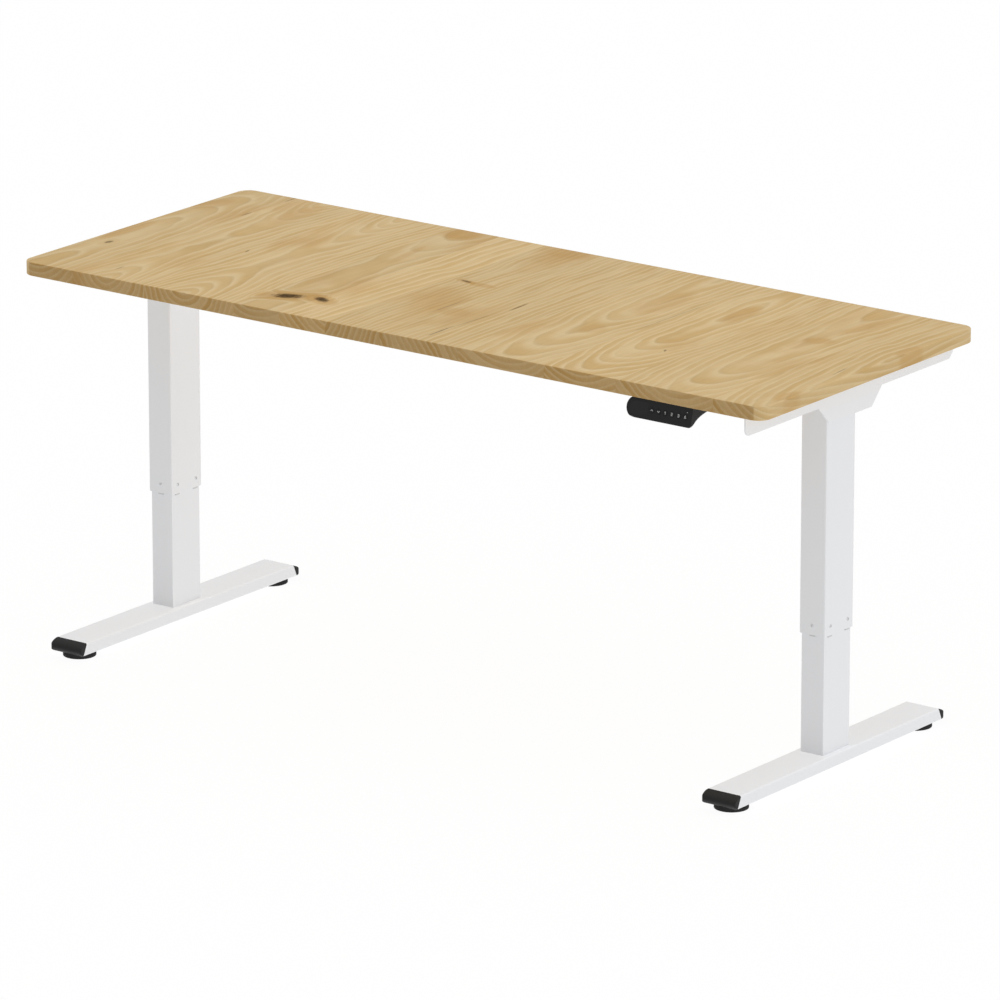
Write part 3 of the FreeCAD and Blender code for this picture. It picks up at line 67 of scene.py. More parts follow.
HEAD_SIDES = 28  # sides of a screw's head
SHANK_SIDES = 16  # sides of its shank
RIM_SHARE = 0.72  # top of the head beside its widest part
STRAIGHT_SHARE = 0.55  # how much of the head's height is straight
BAR_SHARE = 0.30  # a cross recess's width beside its length
CUT_SHARE = 0.95  # middle of the recess beside the head's height
RECESS_SHARE = 1.15  # size of the recess beside the head's radius

Colour = tuple[float, float, float]
Ring = list[Vector]
SocketValue = Union[float, Colour, "Signal", bpy.types.NodeSocket, Vector]


# ------------------------------------------------------------------------------ shader maths


class Signal:
    """A number flowing out of a shader node, with Python arithmetic.

    Args:
        graph: The graph that the socket belongs to.
        socket: The output socket that carries the number.
    """

    def __init__(self, graph: "Graph", socket: bpy.types.NodeSocket) -> None:
        """Keeps the graph and the socket."""
        self.graph = graph
        self.socket = socket

    def _math(self, operation: str, *values: SocketValue) -> "Signal":
        """Adds one Math node and gives its result."""
        node = self.graph.add("ShaderNodeMath", {"operation": operation}, dict(enumerate(values)))
        return Signal(self.graph, node.outputs[0])

    def __add__(self, other: SocketValue) -> "Signal":
        """Sum."""
        return self._math("ADD", self, other)

    __radd__ = __add__

    def __sub__(self, other: SocketValue) -> "Signal":
        """Difference."""
        return self._math("SUBTRACT", self, other)

    def __rsub__(self, other: SocketValue) -> "Signal":
        """Difference from a number."""
        return self._math("SUBTRACT", other, self)

    def __mul__(self, other: SocketValue) -> "Signal":
        """Product."""
        return self._math("MULTIPLY", self, other)

    __rmul__ = __mul__

    def __truediv__(self, other: SocketValue) -> "Signal":
        """Quotient."""
        return self._math("DIVIDE", self, other)

    def __rtruediv__(self, other: SocketValue) -> "Signal":
        """Quotient of a number by this signal."""
        return self._math("DIVIDE", other, self)

    def __abs__(self) -> "Signal":
        """Size without sign."""
        return self._math("ABSOLUTE", self)

    def root(self) -> "Signal":
        """Square root."""
        return self._math("SQRT", self)

    def fraction(self) -> "Signal":
        """Part after the decimal point."""
        return self._math("FRACT", self)

    def whole(self) -> "Signal":
        """Part before the decimal point."""
        return self._math("FLOOR", self)

    def above(self, limit: SocketValue) -> "Signal":
        """1 where the signal is above a limit, else 0."""
        return self._math("GREATER_THAN", self, limit)

    def largest(self, other: SocketValue) -> "Signal":
        """The larger of two signals."""
        return self._math("MAXIMUM", self, other)

    def smallest(self, other: SocketValue) -> "Signal":
        """The smaller of two signals."""
        return self._math("MINIMUM", self, other)

    def step(self, low: float, high: float) -> "Signal":
        """A smooth step from 0 at low to 1 at high; low may be the larger one.

        Args:
            low: Where the step starts.
            high: Where it ends.

        Returns:
            The step as a signal.
        """
        settings = {"interpolation_type": "SMOOTHSTEP"}
        if low < high:
            inputs = {"Value": self, "From Min": low, "From Max": high}
            node = self.graph.add("ShaderNodeMapRange", settings, inputs)
            return Signal(self.graph, node.outputs["Result"])
        return 1.0 - self.step(high, low)


class NodeBuilder:
    """Adds nodes to a tree."""

    def __init__(self, tree: bpy.types.NodeTree) -> None:
        """Keeps the tree that is filled."""
        self.tree = tree

    def add(self, kind: str, settings: dict | None = None, inputs: dict | None = None) -> bpy.types.Node:
        """Makes a node, sets its settings and then its inputs.

        Args:
            kind: Blender's node type.
            settings: Attribute name to value.
            inputs: Socket name or number to a value, a signal or a socket.

        Returns:
            The new node.
        """
        node = self.tree.nodes.new(kind)
        for name, value in (settings or {}).items():
            setattr(node, name, value)
        for name, value in (inputs or {}).items():
            self._feed(node.inputs[name], value)
        return node

    def _feed(self, target: bpy.types.NodeSocket, value: SocketValue) -> None:
        """Links or sets one input.

        Args:
            target: The input socket.
            value: A number, colour, signal or socket.
        """
        if isinstance(value, Signal):
            value = value.socket
        if isinstance(value, bpy.types.NodeSocket):
            self.tree.links.new(value, target)
        elif isinstance(value, tuple) and len(target.default_value) == 4:
            target.default_value = rgba(value)
        else:
            target.default_value = value


class Graph(NodeBuilder):
    """A material's node tree."""

    def __init__(self, material: bpy.types.Material) -> None:
        """Empties the material's tree.

        Args:
            material: The material whose tree is filled.
        """
        material.use_nodes = True
        super().__init__(material.node_tree)
        self.tree.nodes.clear()

    def fill_ramp(self, node: bpy.types.Node, stops: Sequence[tuple[float, Sequence[float]]]) -> None:
        """Gives a colour ramp its stops.

        Args:
            node: The ramp.
            stops: Place and colour of each stop, from 0 to 1.
        """
        elements = node.color_ramp.elements
        while len(elements) > 1:
            elements.remove(elements[-1])
        elements[0].position = stops[0][0]
        elements[0].color = rgba(stops[0][1])
        for place, colour in stops[1:]:
            elements.new(place).color = rgba(colour)

    def signal(self, socket: bpy.types.NodeSocket) -> Signal:
        """Wraps an output socket."""
        return Signal(self, socket)

    def position(self) -> bpy.types.NodeSocket:
        """The point on the piece, in its own frame."""
        return self.add("ShaderNodeTexCoord").outputs["Object"]

    def axes(self, vector: bpy.types.NodeSocket) -> tuple[Signal, Signal, Signal]:
        """A vector's three parts."""
        parts = self.add("ShaderNodeSeparateXYZ", None, {0: vector}).outputs
        return Signal(self, parts[0]), Signal(self, parts[1]), Signal(self, parts[2])

    def point(self, x: SocketValue, y: SocketValue, z: SocketValue) -> bpy.types.NodeSocket:
        """A vector from three numbers or signals."""
        return self.add("ShaderNodeCombineXYZ", None, {0: x, 1: y, 2: z}).outputs[0]

    def noise(
        self, vector: bpy.types.NodeSocket, scale: float, detail: float = 2.0, rough: float = 0.5
    ) -> Signal:
        """Noise between 0 and 1 around 0.5; the scale is in blobs to the metre."""
        inputs = {"Vector": vector, "Scale": scale, "Detail": detail, "Roughness": rough}
        return Signal(self, self.add("ShaderNodeTexNoise", None, inputs).outputs[0])

    def blend(
        self, share: SocketValue, first: SocketValue, second: SocketValue, how: str = "MIX"
    ) -> bpy.types.NodeSocket:
        """Mixes two colours; a share of 0 gives the first and 1 the second."""
        settings = {"data_type": "RGBA", "blend_type": how}
        return self.add("ShaderNodeMix", settings, {0: share, 6: first, 7: second}).outputs[2]

    def bump(self, height: Signal, distance: float, strength: float = 1.0) -> bpy.types.NodeSocket:
        """A bumped normal from a height signal; distance is in metres."""
        inputs = {"Height": height, "Distance": distance, "Strength": strength}
        return self.add("ShaderNodeBump", None, inputs).outputs[0]

    def finish(self, inputs: dict) -> None:
        """Ends the tree in one Principled shader with these inputs."""
        shader = self.add("ShaderNodeBsdfPrincipled", None, inputs)
        self.add("ShaderNodeOutputMaterial", None, {"Surface": shader.outputs[0]})


def rgba(colour: Sequence[float]) -> tuple[float, float, float, float]:
    """A colour with full opacity."""
    return (colour[0], colour[1], colour[2], colour[3] if len(colour) > 3 else 1.0)


# ------------------------------------------------------------------------------ finishes


@dataclass(frozen=True)
class Finish:
    """A surface finish that becomes one Blender material.

    Attributes:
        name: The material's name.
        slot: The record's material slot that it belongs to; not used.
    """

    name: str
    slot: str

    def paint(self, graph: Graph) -> None:
        """Fills the material's graph."""
        raise NotImplementedError

    def material(self) -> bpy.types.Material:
        """The Blender material, made once.

        Returns:
            The finished material.
        """
        name = "finish_" + self.name
        found = bpy.data.materials.get(name)
        if found is None:
            found = bpy.data.materials.new(name)
            self.paint(Graph(found))
        return found


@dataclass(frozen=True)
class Board:
    """One glued board of the top.

    Attributes:
        start: Left edge, in metres from the middle of the desk.
        pith_x: Where the tree's heart lies under the board, in metres from the middle of the desk.
        pith_depth: How deep the heart lies at the middle of the board.
        taper: How much the depth grows from the front to the back, per metre.
        bow: How much the depth bends along the board, per metre squared.
        tone: Brightness beside the average board.
        warmth: Share of the warmer colour.
    """

    start: float
    pith_x: float
    pith_depth: float
    taper: float
    bow: float
    tone: float
    warmth: float


@dataclass(frozen=True)
class Blemish:
    """A knot, pitch streak, check or warm patch in the wood: an ellipse on the top.

    Attributes:
        x: Its middle, in metres from the middle of the desk.
        y: Its middle, positive to the back.
        half_width: Across the grain.
        half_length: Along the grain.
        lean: How far it leans, in metres across for each metre along.
        depth: How dark it is, 0 to 1.
        halo: How far the grain is pushed aside, in metres.
        stain: Share of the warm colour in and round it.
    """

    x: float
    y: float
    half_width: float
    half_length: float
    lean: float
    depth: float
    halo: float = 0.0
    stain: float = 0.0


@dataclass(frozen=True)
class SolidWood(Finish):
    """Light oiled boards with cathedral figure along the depth and end grain on the front and back edges.

    Attributes:
        pale: Colour between the growth rings.
        ring: Colour of the broad tan bands.
        warm: Colour of the golden patches and of the wood round a knot.
        knot: Colour of knots and cracks.
        ring_spacing: From one growth ring to the next, in metres.
        half_length: Half the length that the boards are spread over.
        half_depth: From the middle of the top to its front and back edges.
        surface: Height of the top's surface.
        boards: The glued boards from left to right.
        blemishes: Knots, cracks and patches.
    """

    pale: Colour = (0.612, 0.456, 0.244)
    ring: Colour = (0.498, 0.322, 0.116)
    warm: Colour = (0.470, 0.270, 0.078)
    knot: Colour = (0.040, 0.020, 0.005)
    ring_spacing: float = 0.0112
    half_length: float = 0.8
    half_depth: float = 0.32
    surface: float = 0.725
    boards: tuple[Board, ...] = ()
    blemishes: tuple[Blemish, ...] = ()

    def _board_values(self, graph: Graph, x: Signal) -> tuple[Signal, ...]:
        """Reads the board under a point.

        Args:
            graph: The material's graph.
            x: Distance from the middle of the desk.

        Returns:
            The heart's place and depth, the taper, the bow, the tone and the warmth.
        """
        place = (x + self.half_length) / (2 * self.half_length)
        shape_stops = []
        look_stops = []
        for board in self.boards:
            at = max(0.0, (board.start + self.half_length) / (2 * self.half_length))
            shape_stops.append((at, (board.pith_x + 1.0, board.pith_depth + 1.0, board.taper + 1.0)))
            look_stops.append((at, (board.tone, board.warmth, board.bow * 0.1 + 0.5)))
        shape = self._ramp(graph, place, shape_stops)
        look = self._ramp(graph, place, look_stops)
        bow = (look[2] - 0.5) * 10.0
        return shape[0] - 1.0, shape[1] - 1.0, shape[2] - 1.0, bow, look[0], look[1]

    def _ramp(self, graph: Graph, place: Signal, stops: list) -> list[Signal]:
        """A stepped ramp read as three numbers.

        Args:
            graph: The material's graph.
            place: Where the ramp is read, from 0 to 1.
            stops: Place and three numbers of each step.

        Returns:
            The three numbers at that place.
        """
        node = graph.add("ShaderNodeValToRGB", None, {0: place})
        graph.fill_ramp(node, stops)
        node.color_ramp.interpolation = "CONSTANT"
        parts = graph.add("ShaderNodeSeparateColor", None, {0: node.outputs[0]}).outputs
        return [graph.signal(parts[0]), graph.signal(parts[1]), graph.signal(parts[2])]

    def _ellipse(self, x: Signal, y: Signal, mark: Blemish, grow: float) -> Signal:
        """Squared distance from a blemish's middle, 1 on its rim when grow is 1.

        Args:
            x: Place along the desk.
            y: Place from front to back.
            mark: The blemish.
            grow: How many times its size the ellipse is.

        Returns:
            The squared distance as a signal.
        """
        across = (x - mark.x - (y - mark.y) * mark.lean) / (mark.half_width * grow)
        along = (y - mark.y) / (mark.half_length * grow)
        return across * across + along * along

    def paint(self, graph: Graph) -> None:
        """Rings round each board's heart, fibres, knots, blotches and end grain.

        Args:
            graph: The material's graph.
        """
        here = graph.position()
        x, y, z = graph.axes(here)
        pith_x, pith_depth, taper, bow, tone, warmth = self._board_values(graph, x)
        slow = graph.point(x + pith_x * 7.0, y * 0.30, z)
        wander = graph.noise(slow, 9.0, 2.0, 0.5) - 0.5
        bulge = graph.noise(graph.point(pith_x * 13.0, y, 0.0), 4.5, 2.0, 0.5) - 0.5
        ripple = graph.noise(graph.point(x, y * 0.16, z), 55.0, 3.0, 0.55) - 0.5
        push: SocketValue = 0.0
        dark: SocketValue = 0.0
        stain: SocketValue = 0.0
        grit = graph.noise(graph.point(x, y * 0.35, z), 260.0, 3.0, 0.6)
        for mark in self.blemishes:
            if mark.depth:
                rim = self._ellipse(x, y, mark, 1.0) + (grit - 0.5) * 1.9
                dark = rim.step(1.5, 0.0) * mark.depth + dark
            if mark.halo:
                push = self._ellipse(x, y, mark, 3.0).step(1.0, 0.0) * mark.halo + push
            if mark.stain:
                soft = self._ellipse(x, y, mark, 2.3 if mark.depth else 1.0) + (grit - 0.5) * 0.5
                stain = soft.step(1.2, 0.3) * mark.stain + stain
        fray = graph.noise(graph.point(x, y * 0.45, z), 26.0, 2.0, 0.55) - 0.5
        across = x - pith_x + wander * 0.034 + fray * 0.010 + ripple * 0.0044
        under = pith_depth + (taper + bow * y) * y + bulge * 0.030 + (self.surface - z)
        radius = (across * across + under * under).root() + push
        phase = radius / self.ring_spacing
        year = phase.whole()
        growth = phase.fraction()
        strength = graph.noise(graph.point(year * 0.73 + x * 2.0, pith_x * 9.0, y * 1.8), 3.0, 2.0, 0.55)
        tan = growth.step(0.00, 0.52) * growth.step(1.0, 0.80)
        tan = tan * (strength * 2.4 - 0.55).largest(0.10).smallest(1.0)
        rim_line = growth.step(0.70, 0.90) * growth.step(0.985, 0.93)
        fibre = graph.noise(graph.point(x, y * 0.022, z), 700.0, 3.0, 0.6)
        streak = graph.noise(graph.point(x, y * 0.035, z), 170.0, 3.0, 0.6)
        cloud = graph.noise(graph.point(x + pith_x * 3.0, y * 0.42, z), 7.0, 3.0, 0.55)
        curl = graph.noise(graph.point(x * 0.35, y, z), 95.0, 2.0, 0.5) - 0.5
        edge = self.half_depth - abs(y)
        end_face = edge.step(0.0016, 0.0004)
        contrast = 0.74 + end_face * 0.26
        pores = graph.noise(graph.point(x, y, z * 0.5), 900.0, 3.0, 0.7) - 0.5
        base = graph.blend(tan * contrast, self.pale, self.ring)
        gold = (warmth * 0.5 + (cloud - 0.56) * 3.2).largest(0.0).smallest(0.8)
        base = graph.blend(gold, base, self.warm)
        base = graph.blend(stain.smallest(0.85), base, self.warm)
        shade = tone * (0.80 + fibre * 0.17 + streak * 0.23 + curl * 0.05)
        shade = shade * (1.0 - rim_line * strength * 0.12) * (1.0 - end_face * (0.22 + pores * 0.34))
        shade_colour = graph.add("ShaderNodeCombineColor", None, {0: shade, 1: shade, 2: shade}).outputs[0]
        base = graph.blend(1.0, base, shade_colour, "MULTIPLY")
        tint = graph.blend(end_face, (1.0, 1.0, 1.0), (0.98, 0.90, 0.78))
        base = graph.blend(1.0, base, tint, "MULTIPLY")
        base = graph.blend((dark * (1.0 - end_face)).smallest(0.93), base, self.knot)
        height = fibre * 0.6 + streak * 0.4 - tan * 0.3
        graph.finish({
            "Base Color": base,
            "Roughness": 0.54 + (fibre - 0.5) * 0.16 + tan * 0.05 + dark.smallest(1.0) * 0.3,
            "Specular IOR Level": 0.16,
            "Normal": graph.bump(height, 0.00012),
        })


@dataclass(frozen=True)
class PowderCoat(Finish):
    """White powder coat with a fine orange peel.

    Attributes:
        colour: The paint's colour where the film is thick.
    """

    colour: Colour = (0.772, 0.780, 0.798)

    def paint(self, graph: Graph) -> None:
        """Fine peel, with slightly uneven gloss and film thickness.

        Args:
            graph: The material's graph.
        """
        here = graph.position()
        peel = graph.noise(here, 900.0, 2.0, 0.5)
        film = graph.noise(here, 9.0, 2.0, 0.5)
        low = tuple(c * 0.975 for c in self.colour)
        graph.finish({
            "Base Color": graph.blend(film, low, self.colour),
            "Roughness": 0.42 + (film - 0.5) * 0.10 + (peel - 0.5) * 0.10,
            "Specular IOR Level": 0.45,
            "Normal": graph.bump(peel, 0.00006),
        })


@dataclass(frozen=True)
class MouldedPlastic(Finish):
    """Moulded plastic with an eroded grain.

    Attributes:
        colour: The plastic's colour.
        roughness: Average roughness.
        grain: Grains to the metre.
        grain_height: Depth of the grain, in metres.
        shine: Strength of the reflections.
    """

    colour: Colour = (0.0098, 0.0098, 0.0100)
    roughness: float = 0.5
    grain: float = 1400.0
    grain_height: float = 0.00004
    shine: float = 0.2

    def paint(self, graph: Graph) -> None:
        """Grain in the bump, with a little handling shine and dust in the colour.

        Args:
            graph: The material's graph.
        """
        here = graph.position()
        grain = graph.noise(here, self.grain, 2.0, 0.55)
        hands = graph.noise(here, 24.0, 3.0, 0.5)
        lifted = tuple(min(1.0, c * 1.25 + 0.001) for c in self.colour)
        graph.finish({
            "Base Color": graph.blend(hands * 0.5 + grain * 0.25, self.colour, lifted),
            "Specular IOR Level": self.shine,
            "Roughness": self.roughness + (hands - 0.5) * 0.14 + (grain - 0.5) * 0.08,
            "Normal": graph.bump(grain, self.grain_height),
        })


@dataclass(frozen=True)
class Metal(Finish):
    """Bare, plated or cast metal.

    Attributes:
        colour: The metal's colour.
        roughness: Average roughness.
        speckle: Crystals to the metre.
        height: Depth of the speckle, in metres.
    """

    colour: Colour = (0.62, 0.62, 0.64)
    roughness: float = 0.32
    speckle: float = 700.0
    height: float = 0.00003

    def paint(self, graph: Graph) -> None:
        """Crystalline speckle with dull patches.

        Args:
            graph: The material's graph.
        """
        here = graph.position()
        speckle = graph.noise(here, self.speckle, 3.0, 0.6)
        patch = graph.noise(here, 60.0, 2.0, 0.5)
        dull = tuple(c * 0.78 for c in self.colour)
        graph.finish({
            "Base Color": graph.blend(patch, dull, self.colour),
            "Metallic": 1.0,
            "Roughness": self.roughness + (patch - 0.5) * 0.18 + (speckle - 0.5) * 0.12,
            "Normal": graph.bump(speckle, self.height),
        })


@dataclass(frozen=True)
class GlossLens(Finish):
    """Smoked gloss lens over the display.

    Attributes:
        colour: The lens's colour.
    """

    colour: Colour = (0.006, 0.006, 0.007)

    def paint(self, graph: Graph) -> None:
        """Nearly smooth, with faint smears in the gloss.

        Args:
            graph: The material's graph.
        """
        smear = graph.noise(graph.position(), 55.0, 3.0, 0.6)
        graph.finish({
            "Base Color": self.colour,
            "Roughness": 0.10 + smear * 0.10,
            "Coat Weight": 0.15,
            "Specular IOR Level": 0.3,
        })


@dataclass(frozen=True)
class CircuitBoard(Finish):
    """Green solder mask with faint tracks.

    Attributes:
        colour: Colour of the mask.
        track: Colour of the tracks under it.
    """

    colour: Colour = (0.010, 0.080, 0.030)
    track: Colour = (0.030, 0.150, 0.060)

    def paint(self, graph: Graph) -> None:
        """Tracks from a fine brick pattern broken up by noise.

        Args:
            graph: The material's graph.
        """
        here = graph.position()
        x, y, z = graph.axes(here)
        lines = ((x + y) * 420.0).fraction().step(0.55, 0.65)
        patches = graph.noise(here, 70.0, 1.0, 0.5).step(0.48, 0.54)
        graph.finish({
            "Base Color": graph.blend(lines * patches, self.colour, self.track),
            "Roughness": 0.34 + lines * 0.08,
            "Normal": graph.bump(lines * patches, 0.00004),
        })


BOARDS = (
    Board(-0.800, -0.762, 0.060, 0.070, 0.10, 0.97, 0.45),
    Board(-0.685, -0.610, 0.058, -0.020, -0.42, 1.00, 0.14),
    Board(-0.520, -0.438, 0.066, -0.020, -0.48, 1.01, 0.10),
    Board(-0.320, -0.276, 0.082, -0.035, -0.12, 0.97, 0.20),
    Board(-0.220, -0.030, 0.160, 0.020, 0.00, 1.05, 0.00),
    Board(-0.120, -0.330, 0.120, 0.040, 0.00, 0.97, 0.32),
    Board(0.000, 0.310, 0.110, -0.030, 0.00, 0.97, 0.28),
    Board(0.165, 0.268, 0.052, -0.085, 0.12, 1.00, 0.10),
    Board(0.345, 0.428, 0.036, -0.090, 0.31, 1.02, 0.06),
    Board(0.500, 0.628, 0.056, -0.070, 0.05, 1.00, 0.14),
    Board(0.700, 0.840, 0.070, -0.060, 0.30, 0.99, 0.22),
)

BLEMISHES = (
    Blemish(-0.272, -0.227, 0.023, 0.019, 0.70, 0.94, 0.014, 0.6),
    Blemish(-0.210, -0.211, 0.016, 0.013, -0.60, 0.94, 0.010, 0.6),
    Blemish(-0.083, 0.037, 0.011, 0.005, -0.9, 0.70, 0.006, 0.5),
    Blemish(-0.045, 0.032, 0.034, 0.012, 0.0, 0.0, 0.0, 0.50),
    Blemish(0.023, -0.140, 0.034, 0.026, 0.0, 0.0, 0.0, 0.30),
    Blemish(-0.065, -0.068, 0.055, 0.065, 0.0, 0.0, 0.0, 0.18),
    Blemish(-0.053, 0.300, 0.060, 0.040, 0.0, 0.0, 0.0, 0.42),
    Blemish(-0.284, 0.292, 0.040, 0.042, 0.0, 0.0, 0.0, 0.72),
    Blemish(-0.277, 0.120, 0.010, 0.075, -0.15, 0.0, 0.0, 0.36),
    Blemish(-0.606, 0.225, 0.026, 0.085, 0.0, 0.0, 0.0, 0.36),
    Blemish(-0.778, 0.195, 0.026, 0.050, 0.2, 0.0, 0.0, 0.44),
    Blemish(-0.786, -0.040, 0.020, 0.085, 0.0, 0.0, 0.0, 0.52),
    Blemish(0.431, 0.145, 0.023, 0.068, -0.08, 0.0, 0.0, 0.52),
    Blemish(0.280, 0.120, 0.036, 0.095, 0.0, 0.0, 0.0, 0.34),
    Blemish(0.282, -0.086, 0.026, 0.032, 0.0, 0.0, 0.0, 0.28),
    Blemish(0.655, 0.225, 0.018, 0.100, 0.16, 0.0, 0.0, 0.42),
    Blemish(0.635, 0.082, 0.028, 0.024, 0.3, 0.0, 0.0, 0.46),
    Blemish(0.797, 0.120, 0.018, 0.040, 0.0, 0.0, 0.0, 0.50),
    Blemish(0.790, -0.235, 0.014, 0.040, 0.0, 0.0, 0.0, 0.46),
    Blemish(0.094, -0.045, 0.0022, 0.030, -0.05, 0.62),
    Blemish(0.084, -0.165, 0.0016, 0.060, 0.04, 0.36),
    Blemish(0.080, -0.255, 0.0020, 0.036, -0.03, 0.66),
    Blemish(-0.007, -0.115, 0.0014, 0.045, 0.0, 0.42),
    Blemish(0.345, 0.060, 0.0012, 0.130, 0.0, 0.32),
    Blemish(-0.757, -0.127, 0.0055, 0.011, 0.1, 0.66, 0.006),
    Blemish(-0.684, 0.305, 0.0022, 0.018, 0.0, 0.42),
    Blemish(-0.684, 0.175, 0.0022, 0.014, 0.0, 0.42),
    Blemish(-0.519, -0.030, 0.0022, 0.010, -0.25, 0.50),
    Blemish(-0.627, -0.255, 0.0020, 0.014, 0.0, 0.40),
    Blemish(0.462, -0.125, 0.0030, 0.006, -0.4, 0.56, 0.004),
    Blemish(0.773, -0.050, 0.0018, 0.034, -0.12, 0.40),
)

WOOD = SolidWood("solid_wood", "top_wood", boards=BOARDS, blemishes=BLEMISHES)
WHITE = PowderCoat("white_powder_coat", "white_steel")
BLACK = MouldedPlastic("black_plastic", "black_plastic")
CAP_BLACK = MouldedPlastic("cap_plastic", "black_plastic", (0.011, 0.011, 0.0108), 0.50, 1100.0, 0.00005)
BUTTON_BLACK = MouldedPlastic(
    "button_plastic", "black_plastic", (0.0080, 0.0080, 0.0082), 0.46, 2000.0, 0.00002)
RUBBER = MouldedPlastic("pad_rubber", "black_rubber", (0.012, 0.012, 0.012), 0.72, 500.0, 0.00010)
ACETAL = MouldedPlastic("grey_acetal", "white_plastic", (0.52, 0.52, 0.52), 0.42, 1500.0, 0.00002)
MARKS = MouldedPlastic("button_marks", "black_plastic", (0.42, 0.42, 0.41), 0.60, 1800.0, 0.00001)
LENS = GlossLens("display_lens", "black_gloss")
ZINC = Metal("zinc_plating", "zinc_steel", (0.76, 0.76, 0.77))
SPINDLE_STEEL = Metal("spindle_steel", "spindle_steel", (0.50, 0.50, 0.51), 0.24)
DIE_CAST = Metal("die_cast", "die_cast", (0.55, 0.56, 0.57), 0.46, 380.0, 0.00008)
BRASS = Metal("machined_brass", "brass_nut", (0.72, 0.50, 0.20), 0.26)
MOTOR_PAINT = MouldedPlastic("motor_paint", "motor_steel", (0.030, 0.030, 0.032), 0.44, 800.0, 0.00005)
BOARD_GREEN = CircuitBoard("circuit_board", "board_green")


# ------------------------------------------------------------------------------ meshes


NODE_BODY = {node: body for body, nodes in frame["record"]["behaviour"]["bodies"].items() for node in nodes}


def linked(name: str, data: bpy.types.ID) -> bpy.types.Object:
    """A new object in the scene.

    Args:
        name: The object's name.
        data: Its mesh, light or camera.

    Returns:
        The object.
    """
    made = bpy.data.objects.new(name, data)
    bpy.context.scene.collection.objects.link(made)
    return made


def new_piece(
    name: str, verts: Sequence[Vector], faces: Sequence[Sequence[int]], smooth_deg: float = 35.0
) -> bpy.types.Object:
    """A mesh object at the origin with outward normals.

    Args:
        name: The piece's name.
        verts: Its points in the desk's frame.
        faces: Point numbers round each face.
        smooth_deg: Edges flatter than this look smooth.

    Returns:
        The new object.
    """
    mesh = bpy.data.meshes.new(name)
    mesh.from_pydata([tuple(v) for v in verts], [], [list(f) for f in faces])
    tidy_mesh(mesh, smooth_deg)
    return linked(name, mesh)


def shade_by_angle(bm: bmesh.types.BMesh, smooth_deg: float) -> None:
    """Smooths every edge that is flatter than an angle.

    Args:
        bm: The open mesh.
        smooth_deg: Edges flatter than this look smooth.
    """
    limit = math.radians(smooth_deg)
    for face in bm.faces:
        face.smooth = True
    for edge in bm.edges:
        edge.smooth = len(edge.link_faces) == 2 and edge.calc_face_angle(0.0) < limit


def tidy_mesh(mesh: bpy.types.Mesh, smooth_deg: float) -> None:
    """Merges doubles, turns faces outward and shades by angle.

    Args:
        mesh: The mesh.
        smooth_deg: Edges flatter than this look smooth.
    """
    bm = bmesh.new()
    bm.from_mesh(mesh)
    bmesh.ops.remove_doubles(bm, verts=bm.verts, dist=WELD_NEW)
    bmesh.ops.recalc_face_normals(bm, faces=bm.faces)
    shade_by_angle(bm, smooth_deg)
    bm.to_mesh(mesh)
    bm.free()


def loft(rings: Sequence[Ring], closed_ends: bool = True) -> tuple[list[Vector], list[list[int]]]:
    """Skins a row of rings that have the same number of points.

    Args:
        rings: The rings in order.
        closed_ends: Whether the first and last rings are capped.

    Returns:
        Points and faces.
    """
    count = len(rings[0])
    verts = [p for ring in rings for p in ring]
    faces = []
    for r in range(len(rings) - 1):
        for i in range(count):
            j = (i + 1) % count
            faces.append([r * count + i, r * count + j, (r + 1) * count + j, (r + 1) * count + i])
    if closed_ends:
        faces.append(list(range(count))[::-1])
        faces.append([(len(rings) - 1) * count + i for i in range(count)])
    return verts, faces


def rounded_rectangle(half_x: float, half_y: float, radius: float, steps: int) -> list[tuple[float, float]]:
    """Points round a rectangle with rounded corners, centred on zero.

    Args:
        half_x: Half its width.
        half_y: Half its depth.
        radius: Radius of its corners.
        steps: Number of steps round each corner.

    Returns:
        The points, counter-clockwise.
    """
    points = []
    corners = ((1, 1, 0.0), (-1, 1, 90.0), (-1, -1, 180.0), (1, -1, 270.0))
    for sx, sy, start in corners:
        for i in range(steps + 1):
            a = math.radians(start + 90.0 * i / steps)
            across = sx * (half_x - radius) + radius * math.cos(a)
            along = sy * (half_y - radius) + radius * math.sin(a)
            points.append((across, along))
    return points


def refined_copy(
    node: str, finish: Finish, bevel: float = 0.0, smooth_deg: float = PLAIN_SMOOTH_DEG
) -> bpy.types.Object:
    """A merged, smoothly shaded copy of a CAD node that stands for it.

    Args:
        node: The CAD node.
        finish: The finish it gets.
        bevel: Width of the softened edges, in metres; none when zero.
        smooth_deg: Edges flatter than this look smooth.

    Returns:
        The piece, riding on the node's body.
    """
    mesh = frame["nodes"][node].data.copy()
    mesh.materials.clear()
    bm = bmesh.new()
    bm.from_mesh(mesh)
    for layer in list(bm.loops.layers.uv.values()):
        bm.loops.layers.uv.remove(layer)
    bmesh.ops.remove_doubles(bm, verts=bm.verts, dist=WELD_CAD)
    bmesh.ops.dissolve_limit(bm, angle_limit=math.radians(FLAT_DEG), verts=bm.verts, edges=bm.edges)
    shade_by_angle(bm, smooth_deg)
    bm.to_mesh(mesh)
    bm.free()
    piece = linked(node + "_shown", mesh)
    if bevel:
        soften(piece, bevel)
    return place(piece, finish, NODE_BODY[node], node)


def soften(piece: bpy.types.Object, width: float, segments: int = 2) -> None:
    """Adds a narrow bevel to a piece's sharp edges.

    Args:
        piece: The piece.
        width: The bevel's width, in metres.
        segments: Number of faces across it.
    """
    bevel = piece.modifiers.new("soft_edges", "BEVEL")
    bevel.width = width
    bevel.segments = segments
    bevel.limit_method = "ANGLE"
    bevel.angle_limit = math.radians(BEVEL_FROM_DEG)
    bevel.harden_normals = True
    bevel.use_clamp_overlap = True


